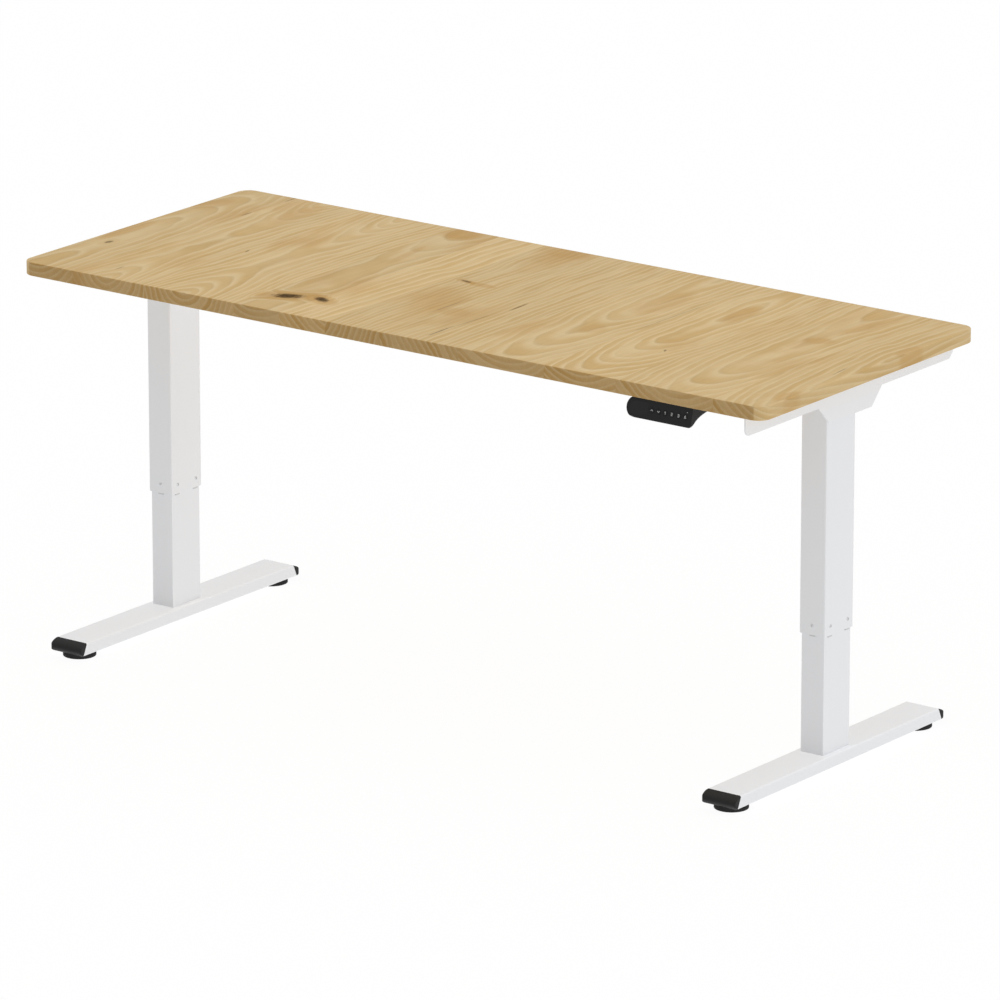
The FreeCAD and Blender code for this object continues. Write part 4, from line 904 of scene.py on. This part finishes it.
def place(piece: bpy.types.Object, finish: Finish, body: str, *replaced: str) -> bpy.types.Object:
    """Gives a piece its finish and its body, and hides the CAD nodes it stands for.

    Args:
        piece: The piece, at the origin.
        finish: Its finish.
        body: The CAD body it rides on.
        *replaced: CAD nodes it stands for.

    Returns:
        The same piece.
    """
    piece.data.materials.clear()
    piece.data.materials.append(finish.material())
    if replaced:
        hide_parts(*replaced)
    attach(piece, body)
    return piece


def solids_of(node: str) -> list[tuple[Vector, Vector]]:
    """The box of each separate solid in a CAD node.

    Args:
        node: The CAD node.

    Returns:
        Lowest and highest corners, one pair for each solid.
    """
    bm = bmesh.new()
    bm.from_mesh(frame["nodes"][node].data)
    bmesh.ops.remove_doubles(bm, verts=bm.verts, dist=WELD_CAD)
    left = set(bm.verts)
    boxes = []
    while left:
        queue = [left.pop()]
        low = queue[0].co.copy()
        high = queue[0].co.copy()
        while queue:
            vert = queue.pop()
            low = Vector(map(min, low, vert.co))
            high = Vector(map(max, high, vert.co))
            for edge in vert.link_edges:
                other = edge.other_vert(vert)
                if other in left:
                    left.remove(other)
                    queue.append(other)
        boxes.append((low, high))
    bm.free()
    return boxes


# ------------------------------------------------------------------------------ screws


class Recess(Enum):
    """What a driver fits into."""

    CROSS = 2
    HEX = 6


@dataclass
class ScrewSet:
    """Identical screws of one CAD node, made by Geometry Nodes.

    Attributes:
        node: The CAD node whose solids say where the screws are.
        body: The body they ride on.
        head_radius: Radius of the head.
        head_height: Height of the head.
        shank_radius: Radius of the shank.
        recess: The driver's shape.
        outward: From a solid's middle to the direction its head points in.
        finish: The screws' finish.
    """

    node: str
    body: str
    head_radius: float
    head_height: float
    shank_radius: float
    recess: Recess
    outward: Callable[[Vector], Vector]
    finish: Finish = ZINC

    def _points(self) -> tuple[bpy.types.Object, float]:
        """A mesh of one point a screw, under the head, with the direction in an attribute.

        Returns:
            The mesh's object and the length of the shank.
        """
        seats = []
        aims = []
        length = 0.0
        for low, high in solids_of(self.node):
            middle = (low + high) / 2
            aim = self.outward(middle)
            size = high - low
            reach = abs(size.dot(Vector(map(abs, aim))))
            length = reach - self.head_height
            seats.append(middle + aim * (reach / 2 - self.head_height))
            aims.append(aim)
        mesh = bpy.data.meshes.new(self.node + "_shown")
        mesh.from_pydata([tuple(p) for p in seats], [], [])
        attribute = mesh.attributes.new("aim", "FLOAT_VECTOR", "POINT")
        attribute.data.foreach_set("vector", [c for a in aims for c in a])
        return linked(self.node + "_shown", mesh), length

    def _tree(self, material: bpy.types.Material) -> bpy.types.NodeTree:
        """The screw as a node group with named sizes.

        Args:
            material: What the screws are made of.

        Returns:
            The node group.
        """
        sizes = ("Head Radius", "Head Height", "Shank Radius", "Shank Length", "Recess Size")
        build = Scatter("screw_" + self.node, dict.fromkeys(sizes, "Float"))
        given = build.given
        high = given["Head Height"]
        wide = given["Head Radius"]
        rim = build.maths("MULTIPLY", wide, RIM_SHARE)
        low_part = build.maths("MULTIPLY", high, STRAIGHT_SHARE)
        top_part = build.maths("SUBTRACT", high, low_part)
        base = build.add("GeometryNodeMeshCylinder", {}, {
            "Vertices": HEAD_SIDES, "Radius": wide, "Depth": low_part})
        base_up = build.lift(base.outputs["Mesh"], build.maths("MULTIPLY", low_part, 0.5))
        cone = build.add("GeometryNodeMeshCone", {}, {
            "Vertices": HEAD_SIDES, "Radius Top": rim, "Radius Bottom": wide, "Depth": top_part})
        cone_up = build.lift(cone.outputs["Mesh"], low_part)
        cut_size = given["Recess Size"]
        if self.recess is Recess.CROSS:
            thin = build.maths("MULTIPLY", cut_size, BAR_SHARE)
            bars = []
            for sx, sy in ((cut_size, thin), (thin, cut_size)):
                size = build.add("ShaderNodeCombineXYZ", {}, {0: sx, 1: sy, 2: high})
                bars.append(build.add("GeometryNodeMeshCube", {}, {"Size": size.outputs[0]}).outputs["Mesh"])
        else:
            half = build.maths("MULTIPLY", cut_size, 0.5)
            socket = build.add("GeometryNodeMeshCylinder", {}, {"Vertices": 6, "Radius": half, "Depth": high})
            bars = [socket.outputs["Mesh"]]
        cut_z = build.maths("MULTIPLY", high, CUT_SHARE)
        merged = build.add("GeometryNodeMeshBoolean", {"operation": "UNION"}, {})
        links = build.tree.links
        links.new(base_up, merged.inputs["Mesh 2"])
        links.new(cone_up, merged.inputs["Mesh 2"])
        carved = build.add("GeometryNodeMeshBoolean", {"operation": "DIFFERENCE"}, {})
        links.new(merged.outputs["Mesh"], carved.inputs["Mesh 1"])
        for bar in bars:
            links.new(build.lift(bar, cut_z), carved.inputs["Mesh 2"])
        length = given["Shank Length"]
        shank = build.add("GeometryNodeMeshCylinder", {}, {
            "Vertices": SHANK_SIDES, "Radius": given["Shank Radius"], "Depth": length})
        shank_down = build.lift(shank.outputs["Mesh"], build.maths("MULTIPLY", length, -0.5))
        screw = build.join([carved.outputs["Mesh"], shank_down])
        aim = build.add("GeometryNodeInputNamedAttribute", {"data_type": "FLOAT_VECTOR"}, {"Name": "aim"})
        turn = build.add(
            "FunctionNodeAlignRotationToVector", {"axis": "Z"}, {"Vector": aim.outputs["Attribute"]})
        build.spread({
            "Points": given["Geometry"], "Instance": screw, "Rotation": turn.outputs["Rotation"]}, material)
        return build.tree

    def build(self) -> bpy.types.Object:
        """Makes the screws as one plain mesh.

        Returns:
            The piece that stands for the CAD node.
        """
        points, length = self._points()
        material = self.finish.material()
        modifier = points.modifiers.new("screws", "NODES")
        modifier.node_group = self._tree(material)
        feed_sizes(modifier, {
            "Head Radius": self.head_radius,
            "Head Height": self.head_height,
            "Shank Radius": self.shank_radius,
            "Shank Length": length,
            "Recess Size": self.head_radius * RECESS_SHARE,
        })
        return place(made_plain(points), self.finish, self.body, self.node)


@dataclass
class RibRow:
    """A row of straight moulded ribs on a flat face, made by Geometry Nodes.

    Attributes:
        name: The piece's name.
        body: The body it rides on.
        start: Middle of the first rib.
        step: From one rib to the next.
        size: Each rib's length, width and height.
        count: Number of ribs.
        finish: The finish they share with the part that they stand on.
    """

    name: str
    body: str
    start: Vector
    step: Vector
    size: Vector
    count: int
    finish: Finish

    def _tree(self, material: bpy.types.Material) -> bpy.types.NodeTree:
        """The row as a node group with named sizes.

        Args:
            material: What the ribs are made of.

        Returns:
            The node group.
        """
        sizes = {"Count": "Int", "Start": "Vector", "Step": "Vector", "Rib Size": "Vector"}
        build = Scatter("ribs_" + self.name, sizes)
        given = build.given
        places = {"Count": given["Count"], "Start Location": given["Start"], "Offset": given["Step"]}
        line = build.add("GeometryNodeMeshLine", {"mode": "OFFSET"}, places)
        rib = build.add("GeometryNodeMeshCube", {}, {"Size": given["Rib Size"]})
        build.spread({"Points": line.outputs[0], "Instance": rib.outputs[0]}, material)
        return build.tree

    def build(self) -> bpy.types.Object:
        """Makes the ribs as one plain mesh.

        Returns:
            The ribs, with softened edges.
        """
        holder = linked(self.name, bpy.data.meshes.new(self.name))
        modifier = holder.modifiers.new("ribs", "NODES")
        modifier.node_group = self._tree(self.finish.material())
        feed_sizes(modifier, {
            "Count": self.count, "Start": self.start, "Step": self.step, "Rib Size": self.size})
        piece = made_plain(holder)
        soften(piece, RIB_BEVEL)
        return place(piece, self.finish, self.body)


class Scatter(NodeBuilder):
    """A Geometry Nodes group that puts one shape on many points."""

    def __init__(self, name: str, sizes: dict[str, str]) -> None:
        """Makes the group with its named inputs.

        Args:
            name: The group's name.
            sizes: Input name to its kind: Float, Int or Vector.
        """
        super().__init__(bpy.data.node_groups.new(name, "GeometryNodeTree"))
        face = self.tree.interface
        face.new_socket("Geometry", in_out="INPUT", socket_type="NodeSocketGeometry")
        for size, kind in sizes.items():
            face.new_socket(size, in_out="INPUT", socket_type="NodeSocket" + kind)
        face.new_socket("Geometry", in_out="OUTPUT", socket_type="NodeSocketGeometry")
        self.given = self.add("NodeGroupInput").outputs

    def spread(self, places: dict[str, bpy.types.NodeSocket], material: bpy.types.Material) -> None:
        """Puts the shape on every point and ends the group.

        Args:
            places: The points, the shape and, where it turns, its rotation.
            material: What the shapes are made of.
        """
        copies = self.add("GeometryNodeInstanceOnPoints", None, places).outputs["Instances"]
        real = self.add("GeometryNodeRealizeInstances", None, {"Geometry": copies}).outputs["Geometry"]
        dressed = self.add("GeometryNodeSetMaterial", None, {"Geometry": real, "Material": material})
        self.add("NodeGroupOutput", None, {"Geometry": dressed.outputs["Geometry"]})

    def maths(self, operation: str, first: SocketValue, second: SocketValue) -> bpy.types.NodeSocket:
        """One Math node's result."""
        return self.add("ShaderNodeMath", {"operation": operation}, {0: first, 1: second}).outputs[0]

    def lift(self, mesh: bpy.types.NodeSocket, height: bpy.types.NodeSocket) -> bpy.types.NodeSocket:
        """A mesh moved up by a height.

        Args:
            mesh: The mesh's socket.
            height: The height's socket.

        Returns:
            The moved mesh's socket.
        """
        offset = self.add("ShaderNodeCombineXYZ", {}, {2: height})
        moved = self.add("GeometryNodeTransform", {}, {"Geometry": mesh, "Translation": offset.outputs[0]})
        return moved.outputs["Geometry"]

    def join(self, meshes: Sequence[bpy.types.NodeSocket]) -> bpy.types.NodeSocket:
        """Several meshes as one.

        Args:
            meshes: The meshes' sockets.

        Returns:
            The joined mesh's socket.
        """
        node = self.add("GeometryNodeJoinGeometry")
        for mesh in meshes:
            self.tree.links.new(mesh, node.inputs[0])
        return node.outputs[0]


def feed_sizes(modifier: bpy.types.Modifier, sizes: dict) -> None:
    """Sets the named inputs of a Geometry Nodes modifier.

    Args:
        modifier: The modifier.
        sizes: Input name to value.
    """
    for item in modifier.node_group.interface.items_tree:
        if item.in_out == "INPUT" and item.name in sizes:
            modifier[item.identifier] = sizes[item.name]


def made_plain(source: bpy.types.Object) -> bpy.types.Object:
    """Turns an object with a Geometry Nodes modifier into a plain mesh object of the same name.

    Args:
        source: The object with the modifier, which is removed.

    Returns:
        The plain mesh object.
    """
    depsgraph = bpy.context.evaluated_depsgraph_get()
    depsgraph.update()
    mesh = bpy.data.meshes.new_from_object(source.evaluated_get(depsgraph))
    name = source.name
    bpy.data.objects.remove(source)
    tidy_mesh(mesh, PLAIN_SMOOTH_DEG)
    mesh.name = name
    return linked(name, mesh)


# ------------------------------------------------------------------------------ sub-assemblies


@dataclass
class Desktop:
    """The wood top.

    Attributes:
        corner_radius: Radius of the four corners in plan.
        arris: Radius of the softened top and bottom edges.
        corner_steps: Points round each corner.
        arris_steps: Points round each arris.
    """

    corner_radius: float = 25.0 * MM
    arris: float = 2.0 * MM
    corner_steps: int = 24
    arris_steps: int = 5

    def build(self) -> bpy.types.Object:
        """Lofts the slab from its underside to its top.

        Returns:
            The piece that stands for the CAD desktop.
        """
        low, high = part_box("desktop")
        half_x = (high.x - low.x) / 2
        half_y = (high.y - low.y) / 2
        rings = []
        for side in (-1, 1):
            steps = range(self.arris_steps + 1)
            for i in steps if side < 0 else reversed(steps):
                angle = math.pi / 2 * i / self.arris_steps
                inset = self.arris * (1 - math.sin(angle))
                drop = self.arris * (1 - math.cos(angle))
                z = low.z + drop if side < 0 else high.z - drop
                corner = self.corner_radius - inset
                outline = rounded_rectangle(half_x - inset, half_y - inset, corner, self.corner_steps)
                rings.append([Vector((px, py, z)) for px, py in outline])
        piece = new_piece("wood_top", *loft(rings), smooth_deg=40.0)
        return place(piece, WOOD, "upper", "desktop")


@dataclass
class Frame:
    """Beam, brackets and columns, all powder coated.

    Attributes:
        sheet_bevel: Softened edge of the sheet parts.
        tube_bevel: Softened edge of the tubes and foot bars.
        sheet_nodes: The parts bent from sheet.
        tube_nodes: The tubes and foot bars.
    """

    sheet_bevel: float = 0.5 * MM
    tube_bevel: float = 0.3 * MM
    sheet_nodes: tuple[str, ...] = (
        "side_bracket_left", "side_bracket_right", "beam_centre", "beam_end_left", "beam_end_right")
    tube_nodes: tuple[str, ...] = (
        "outer_tube_left", "outer_tube_right", "inner_tube_left", "inner_tube_right",
        "foot_left", "foot_right")

    def build(self) -> list[bpy.types.Object]:
        """Refines every painted steel part.

        Returns:
            One piece for each part.
        """
        pieces = [refined_copy(node, WHITE, self.sheet_bevel) for node in self.sheet_nodes]
        pieces += [refined_copy(node, WHITE, self.tube_bevel) for node in self.tube_nodes]
        return pieces


@dataclass
class Mechanism:
    """Everything inside the columns and the beam.

    Attributes:
        bevel: Softened edge of every part.
        finishes: The finish of each CAD node; a name ending in _ has a left and a right one.
    """

    bevel: float = 0.25 * MM
    finishes: dict[str, Finish] = field(default_factory=lambda: {
        "glide_sleeve_": ACETAL,
        "top_guide_": ACETAL,
        "spindle_nut_": BRASS,
        "spindle_": SPINDLE_STEEL,
        "spindle_bearings": SPINDLE_STEEL,
        "motor_shaft_": SPINDLE_STEEL,
        "motor_can_": MOTOR_PAINT,
        "gearbox_housing_": DIE_CAST,
        "gearbox_covers": DIE_CAST,
    })

    def build(self) -> list[bpy.types.Object]:
        """Refines each drive part.

        Returns:
            One piece for each part.
        """
        pieces = []
        for name, finish in self.finishes.items():
            for side in SIDES if name.endswith("_") else ("",):
                pieces.append(refined_copy(name + side, finish, self.bevel))
        return pieces


@dataclass
class Feet:
    """Caps, levelling pads and studs.

    Attributes:
        moulded_bevel: Softened edge of the caps and pads.
        stud_bevel: Softened edge of the studs.
        cap_smooth_deg: Edges of the caps flatter than this look smooth.
    """

    moulded_bevel: float = 0.8 * MM
    stud_bevel: float = 0.3 * MM
    cap_smooth_deg: float = 50.0

    def build(self) -> list[bpy.types.Object]:
        """Dresses both feet.

        Returns:
            Caps, pads and studs.
        """
        pieces = []
        for side in SIDES:
            caps = refined_copy(f"foot_caps_{side}", CAP_BLACK, self.moulded_bevel, self.cap_smooth_deg)
            pieces.append(caps)
            for end in ("front", "back"):
                pieces.append(refined_copy(f"leveller_pad_{end}_{side}", RUBBER, self.moulded_bevel))
                pieces.append(refined_copy(f"leveller_stud_{end}_{side}", ZINC, self.stud_bevel))
        return pieces


@dataclass
class ControlBox:
    """Control box under the top, with its sockets.

    Attributes:
        rib_count: Number of cooling ribs under the cover.
        rib_pitch: From one rib to the next.
        rib_width: Thickness of a rib.
        rib_rise: How far a rib stands proud.
        rib_margin: From a rib's end to the cover's edge.
    """

    rib_count: int = 17
    rib_pitch: float = 9.0 * MM
    rib_width: float = 2.4 * MM
    rib_rise: float = 1.2 * MM
    rib_margin: float = 14.0 * MM

    def build(self) -> list[bpy.types.Object]:
        """Dresses the box.

        Returns:
            The case, the cover with its ribs, the board and the sockets.
        """
        finishes = {
            "control_box_case": BLACK,
            "control_box_cover": BLACK,
            "control_box_board": BOARD_GREEN,
            "mains_inlet": BUTTON_BLACK,
            "low_voltage_sockets": BUTTON_BLACK,
        }
        pieces = [refined_copy(node, finish, 0.4 * MM) for node, finish in finishes.items()]
        low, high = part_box("control_box_cover")
        middle = (low + high) / 2
        size = Vector((self.rib_width, high.y - low.y - 2 * self.rib_margin, 2 * self.rib_rise))
        start = Vector((middle.x - (self.rib_count - 1) * self.rib_pitch / 2, middle.y, low.z))
        step = Vector((self.rib_pitch, 0.0, 0.0))
        ribs = RibRow("control_box_ribs", "upper", start, step, size, self.rib_count, BLACK)
        return pieces + [ribs.build()]


class Glyph(Enum):
    """What is printed on a button: strokes in button radii, as (x, z) points."""

    UP = (((-0.42, -0.16), (0.0, 0.26)), ((0.0, 0.26), (0.42, -0.16)))
    DOWN = (((-0.42, 0.16), (0.0, -0.26)), ((0.0, -0.26), (0.42, 0.16)))
    ONE = (((-0.18, 0.26), (0.06, 0.44)), ((0.06, 0.44), (0.06, -0.42)))
    TWO = (((-0.26, 0.42), (0.26, 0.42)), ((0.26, 0.42), (0.26, 0.02)), ((0.26, 0.02), (-0.26, 0.02)),
           ((-0.26, 0.02), (-0.26, -0.42)), ((-0.26, -0.42), (0.26, -0.42)))
    THREE = (((-0.26, 0.42), (0.26, 0.42)), ((0.26, 0.42), (0.26, -0.42)), ((-0.18, 0.0), (0.26, 0.0)),
             ((-0.26, -0.42), (0.26, -0.42)))
    STORE = (((-0.36, -0.36), (0.36, -0.36)), ((0.0, 0.44), (0.0, -0.12)), ((-0.24, 0.10), (0.0, -0.14)),
             ((0.24, 0.10), (0.0, -0.14)))


@dataclass
class Handset:
    """Handset under the front edge.

    Attributes:
        stroke: Width of the printed strokes.
        print_height: How far the print stands proud.
        button_radius: Size that the glyphs are drawn to.
        lamp_radius: Radius of the standby lamp.
        lamp_rise: How far up the face the lamp is from the last button.
        lamp_side: How far to the right it is.
    """

    stroke: float = 0.85 * MM
    print_height: float = 0.06 * MM
    button_radius: float = 5.0 * MM
    lamp_radius: float = 0.7 * MM
    lamp_rise: float = 8.2 * MM
    lamp_side: float = 3.0 * MM

    def _button_front(self, index: int) -> tuple[Vector, Vector]:
        """Finds the front of a button on the leaning face.

        Args:
            index: The button's number, from 1.

        Returns:
            The middle of its front and the direction that faces the user.
        """
        press = next(j for j in frame["joints"] if j["child"] == f"button_{index}")
        outward = -Vector(press["axis"]).normalized()
        points = [v.co for v in frame["nodes"][f"handset_button_{index}"].data.vertices]
        reach = max(p.dot(outward) for p in points)
        front = [p for p in points if p.dot(outward) > reach - 0.02 * MM]
        low = Vector(min(p[i] for p in front) for i in range(3))
        high = Vector(max(p[i] for p in front) for i in range(3))
        return (low + high) / 2, outward

    def _mark(self, index: int, glyph: Glyph) -> bpy.types.Object:
        """Prints one glyph on a button.

        Args:
            index: The button's number, from 1.
            glyph: What is printed.

        Returns:
            The print, riding on the button.
        """
        middle, outward = self._button_front(index)
        right = Vector((1.0, 0.0, 0.0))
        upward = outward.cross(right)
        verts: list[Vector] = []
        faces: list[list[int]] = []
        for (ax, az), (bx, bz) in glyph.value:
            a = middle + (right * ax + upward * az) * self.button_radius
            b = middle + (right * bx + upward * bz) * self.button_radius
            along = (b - a).normalized() * self.stroke / 2
            side = outward.cross(along)
            corners = [a - along - side, b + along - side, b + along + side, a - along + side]
            self._slab(verts, faces, corners, outward * self.print_height)
        piece = new_piece(f"button_print_{index}", verts, faces)
        return place(piece, MARKS, f"button_{index}")

    def _lamp(self) -> bpy.types.Object:
        """Makes the domed standby lamp above the last button.

        Returns:
            The lamp, riding on the desk's upper half.
        """
        middle, outward = self._button_front(6)
        right = Vector((1.0, 0.0, 0.0))
        upward = outward.cross(right)
        face = frame["nodes"]["handset_face"].data
        depth = max(v.co.dot(outward) for v in face.vertices)
        seat = middle + right * self.lamp_side + upward * self.lamp_rise
        seat += outward * (depth - seat.dot(outward))
        rings = []
        for height, share in ((-0.3, 1.0), (0.0, 1.0), (0.25, 0.85), (0.42, 0.55), (0.48, 0.2)):
            centre = seat + outward * height * self.lamp_radius
            reach = self.lamp_radius * share
            turns = (math.radians(15.0 * i) for i in range(24))
            rings.append([centre + (right * math.cos(a) + upward * math.sin(a)) * reach for a in turns])
        piece = new_piece("standby_lamp", *loft(rings), smooth_deg=60.0)
        return place(piece, MARKS, "upper")

    def _slab(self, verts: list[Vector], faces: list[list[int]], corners: list[Vector], rise: Vector) -> None:
        """Adds a thin closed block over four corners.

        Args:
            verts: Points that the block's are added to.
            faces: Faces that the block's are added to.
            corners: The block's foot.
            rise: From the foot to the top.
        """
        start = len(verts)
        verts.extend(corners)
        verts.extend(c + rise for c in corners)
        faces.append([start, start + 1, start + 2, start + 3])
        faces.append([start + 7, start + 6, start + 5, start + 4])
        for i in range(4):
            j = (i + 1) % 4
            faces.append([start + i, start + j, start + 4 + j, start + 4 + i])

    def build(self) -> list[bpy.types.Object]:
        """Dresses the handset and prints its buttons.

        Returns:
            Case, front, lens, board, buttons, prints and lamp.
        """
        pieces = [
            refined_copy("handset_case", BLACK, 0.5 * MM),
            refined_copy("handset_face", BLACK, 0.2 * MM),
            refined_copy("handset_display", LENS, 0.15 * MM),
            refined_copy("handset_board", BOARD_GREEN, 0.1 * MM),
        ]
        glyphs = (Glyph.UP, Glyph.DOWN, Glyph.ONE, Glyph.TWO, Glyph.THREE, Glyph.STORE)
        for index, glyph in enumerate(glyphs, start=1):
            pieces.append(refined_copy(f"handset_button_{index}", BUTTON_BLACK, 0.3 * MM))
            pieces.append(self._mark(index, glyph))
        pieces.append(self._lamp())
        return pieces


@dataclass
class Fasteners:
    """Every screw and bolt.

    Attributes:
        face_band: Glide screws nearer than this to a column's front or back sit on that face.
        gearbox_x: Cover screws farther out than this belong to a gearbox.
    """

    face_band: float = 7.5 * MM
    gearbox_x: float = 0.4

    def build(self) -> list[bpy.types.Object]:
        """Makes each set of screws with Geometry Nodes.

        Returns:
            One piece for each set.
        """
        down = Vector((0.0, 0.0, -1.0))
        up = Vector((0.0, 0.0, 1.0))
        inner_low, inner_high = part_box("inner_tube_right")
        outer_low, outer_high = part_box("outer_tube_right")
        column_x = (inner_low.x + inner_high.x) / 2
        half_depth = (outer_high.y - outer_low.y) / 2

        def glide_aim(middle: Vector) -> Vector:
            """Away from the column, on whichever face the screw sits.

            Args:
                middle: The screw's middle.

            Returns:
                The direction that its head points in.
            """
            if abs(middle.y) > half_depth - self.face_band:
                return Vector((0.0, math.copysign(1.0, middle.y), 0.0))
            outward = math.copysign(1.0, abs(middle.x) - column_x)
            side = math.copysign(1.0, middle.x)
            return Vector((outward * side, 0.0, 0.0))

        def cover_aim(middle: Vector) -> Vector:
            """Up on the gearboxes and down on the control box."""
            return up if abs(middle.x) > self.gearbox_x else down

        sets = [
            ScrewSet("glide_screws", "upper", 2.9 * MM, 1.2 * MM, 2.0 * MM, Recess.CROSS, glide_aim),
            ScrewSet("wood_screws", "upper", 4.0 * MM, 2.5 * MM, 2.0 * MM, Recess.CROSS, lambda m: down),
            ScrewSet("cover_screws", "upper", 2.8 * MM, 1.8 * MM, 1.5 * MM, Recess.CROSS, cover_aim),
            ScrewSet("frame_bolts", "upper", 5.0 * MM, 3.5 * MM, 3.0 * MM, Recess.HEX, lambda m: down),
            ScrewSet("column_bolts", "upper", 5.0 * MM, 3.5 * MM, 3.0 * MM, Recess.HEX, lambda m: down),
        ]
        for side in SIDES:
            node, body = f"foot_bolts_{side}", f"{side}_base"
            sets.append(ScrewSet(node, body, 6.5 * MM, 6.5 * MM, 4.0 * MM, Recess.HEX, lambda m: down))
        return [screws.build() for screws in sets]


# ------------------------------------------------------------------------------ studio


@dataclass
class Studio:
    """Floor, light and camera.

    Attributes:
        azimuth_deg: Where the camera stands round the desk; 0 looks along +Y.
        elevation_deg: How far it looks down.
        distance: From the point it looks at.
        lens_mm: Focal length on a 36 mm sensor.
        aim: The point it looks at.
        floor_half: Half the floor's side.
        sun_angle_deg: How broad the two lights are.
        right_strength: Irradiance of the light from the right.
        overhead_strength: Irradiance of the light from above.
    """

    azimuth_deg: float = 36.79
    elevation_deg: float = 16.48
    distance: float = 14.41
    lens_mm: float = 295.6
    aim: tuple[float, float, float] = (0.0086, 0.0132, 0.3476)
    floor_half: float = 30.0
    sun_angle_deg: float = 20.0
    right_strength: float = 0.60
    overhead_strength: float = 1.42

    def build(self) -> None:
        """Makes the whole set."""
        self._floor()
        self._world()
        self._lights()
        self._camera()

    def _floor(self) -> None:
        """A pale floor that is clear from underneath."""
        h = self.floor_half
        corners = [Vector((-h, -h, 0)), Vector((h, -h, 0)), Vector((h, h, 0)), Vector((-h, h, 0))]
        mesh = bpy.data.meshes.new("floor")
        mesh.from_pydata([tuple(c) for c in corners], [], [[0, 1, 2, 3]])
        floor = linked("floor", mesh)
        floor.location.z = -0.2 * MM
        material = bpy.data.materials.new("floor_white")
        graph = Graph(material)
        soft = graph.add("ShaderNodeBsdfDiffuse", None, {"Color": (0.92, 0.92, 0.92)})
        glow = graph.add("ShaderNodeEmission", None, {"Color": (1.0, 1.0, 1.0), "Strength": 1.0})
        mixed = graph.add("ShaderNodeMixShader", None, {0: 0.86, 1: soft.outputs[0], 2: glow.outputs[0]})
        clear = graph.add("ShaderNodeBsdfTransparent")
        under = graph.add("ShaderNodeNewGeometry").outputs["Backfacing"]
        both = graph.add("ShaderNodeMixShader", None, {0: under, 1: mixed.outputs[0], 2: clear.outputs[0]})
        graph.add("ShaderNodeOutputMaterial", None, {"Surface": both.outputs[0]})
        mesh.materials.append(material)

    def _world(self) -> None:
        """Even white surroundings."""
        world = bpy.data.worlds.new("studio")
        bpy.context.scene.world = world
        world.use_nodes = True
        world.node_tree.nodes["Background"].inputs[0].default_value = (1.0, 1.0, 1.0, 1.0)
        world.node_tree.nodes["Background"].inputs[1].default_value = 0.60

    def _sun(self, name: str, shines: Vector, strength: float) -> None:
        """One broad, even light without a cast shadow.

        Args:
            name: The light's name.
            shines: The direction it shines in.
            strength: Its irradiance.
        """
        sun = bpy.data.lights.new(name, "SUN")
        sun.energy = strength
        sun.angle = math.radians(self.sun_angle_deg)
        sun.use_shadow = False
        holder = linked(name, sun)
        holder.rotation_mode = "QUATERNION"
        holder.rotation_quaternion = shines.to_track_quat("-Z", "Y")

    def _lights(self) -> None:
        """A soft light from the right and one from above."""
        self._sun("right", Vector((-1.0, 0.0, -0.02)), self.right_strength)
        self._sun("overhead", Vector((0.0, 0.01, -1.0)), self.overhead_strength)

    def _camera(self) -> None:
        """A long lens at the viewing angle."""
        az = math.radians(self.azimuth_deg)
        el = math.radians(self.elevation_deg)
        back = Vector((math.sin(az) * math.cos(el), -math.cos(az) * math.cos(el), math.sin(el)))
        lens = bpy.data.cameras.new("camera")
        lens.sensor_width = 36.0
        lens.lens = self.lens_mm
        lens.clip_start = 0.1
        lens.clip_end = 200.0
        camera = linked("camera", lens)
        camera.location = Vector(self.aim) + back * self.distance
        camera.rotation_mode = "QUATERNION"
        camera.rotation_quaternion = (-back).to_track_quat("-Z", "Y")
        bpy.context.scene.camera = camera
        bpy.context.scene.view_settings.view_transform = "Standard"


def main() -> None:
    """Builds the studio and every sub-assembly in order."""
    logging.basicConfig(level=logging.INFO, format="%(name)s: %(message)s")
    Studio().build()
    groups = (Desktop(), Frame(), Feet(), Handset(), ControlBox(), Mechanism(), Fasteners())
    for group in groups:
        made = group.build()
        for piece in made if isinstance(made, list) else [made]:
            LOG.info("%s: %s, %d faces", type(group).__name__, piece.name, len(piece.data.polygons))


if __name__ == "__main__":
    main()
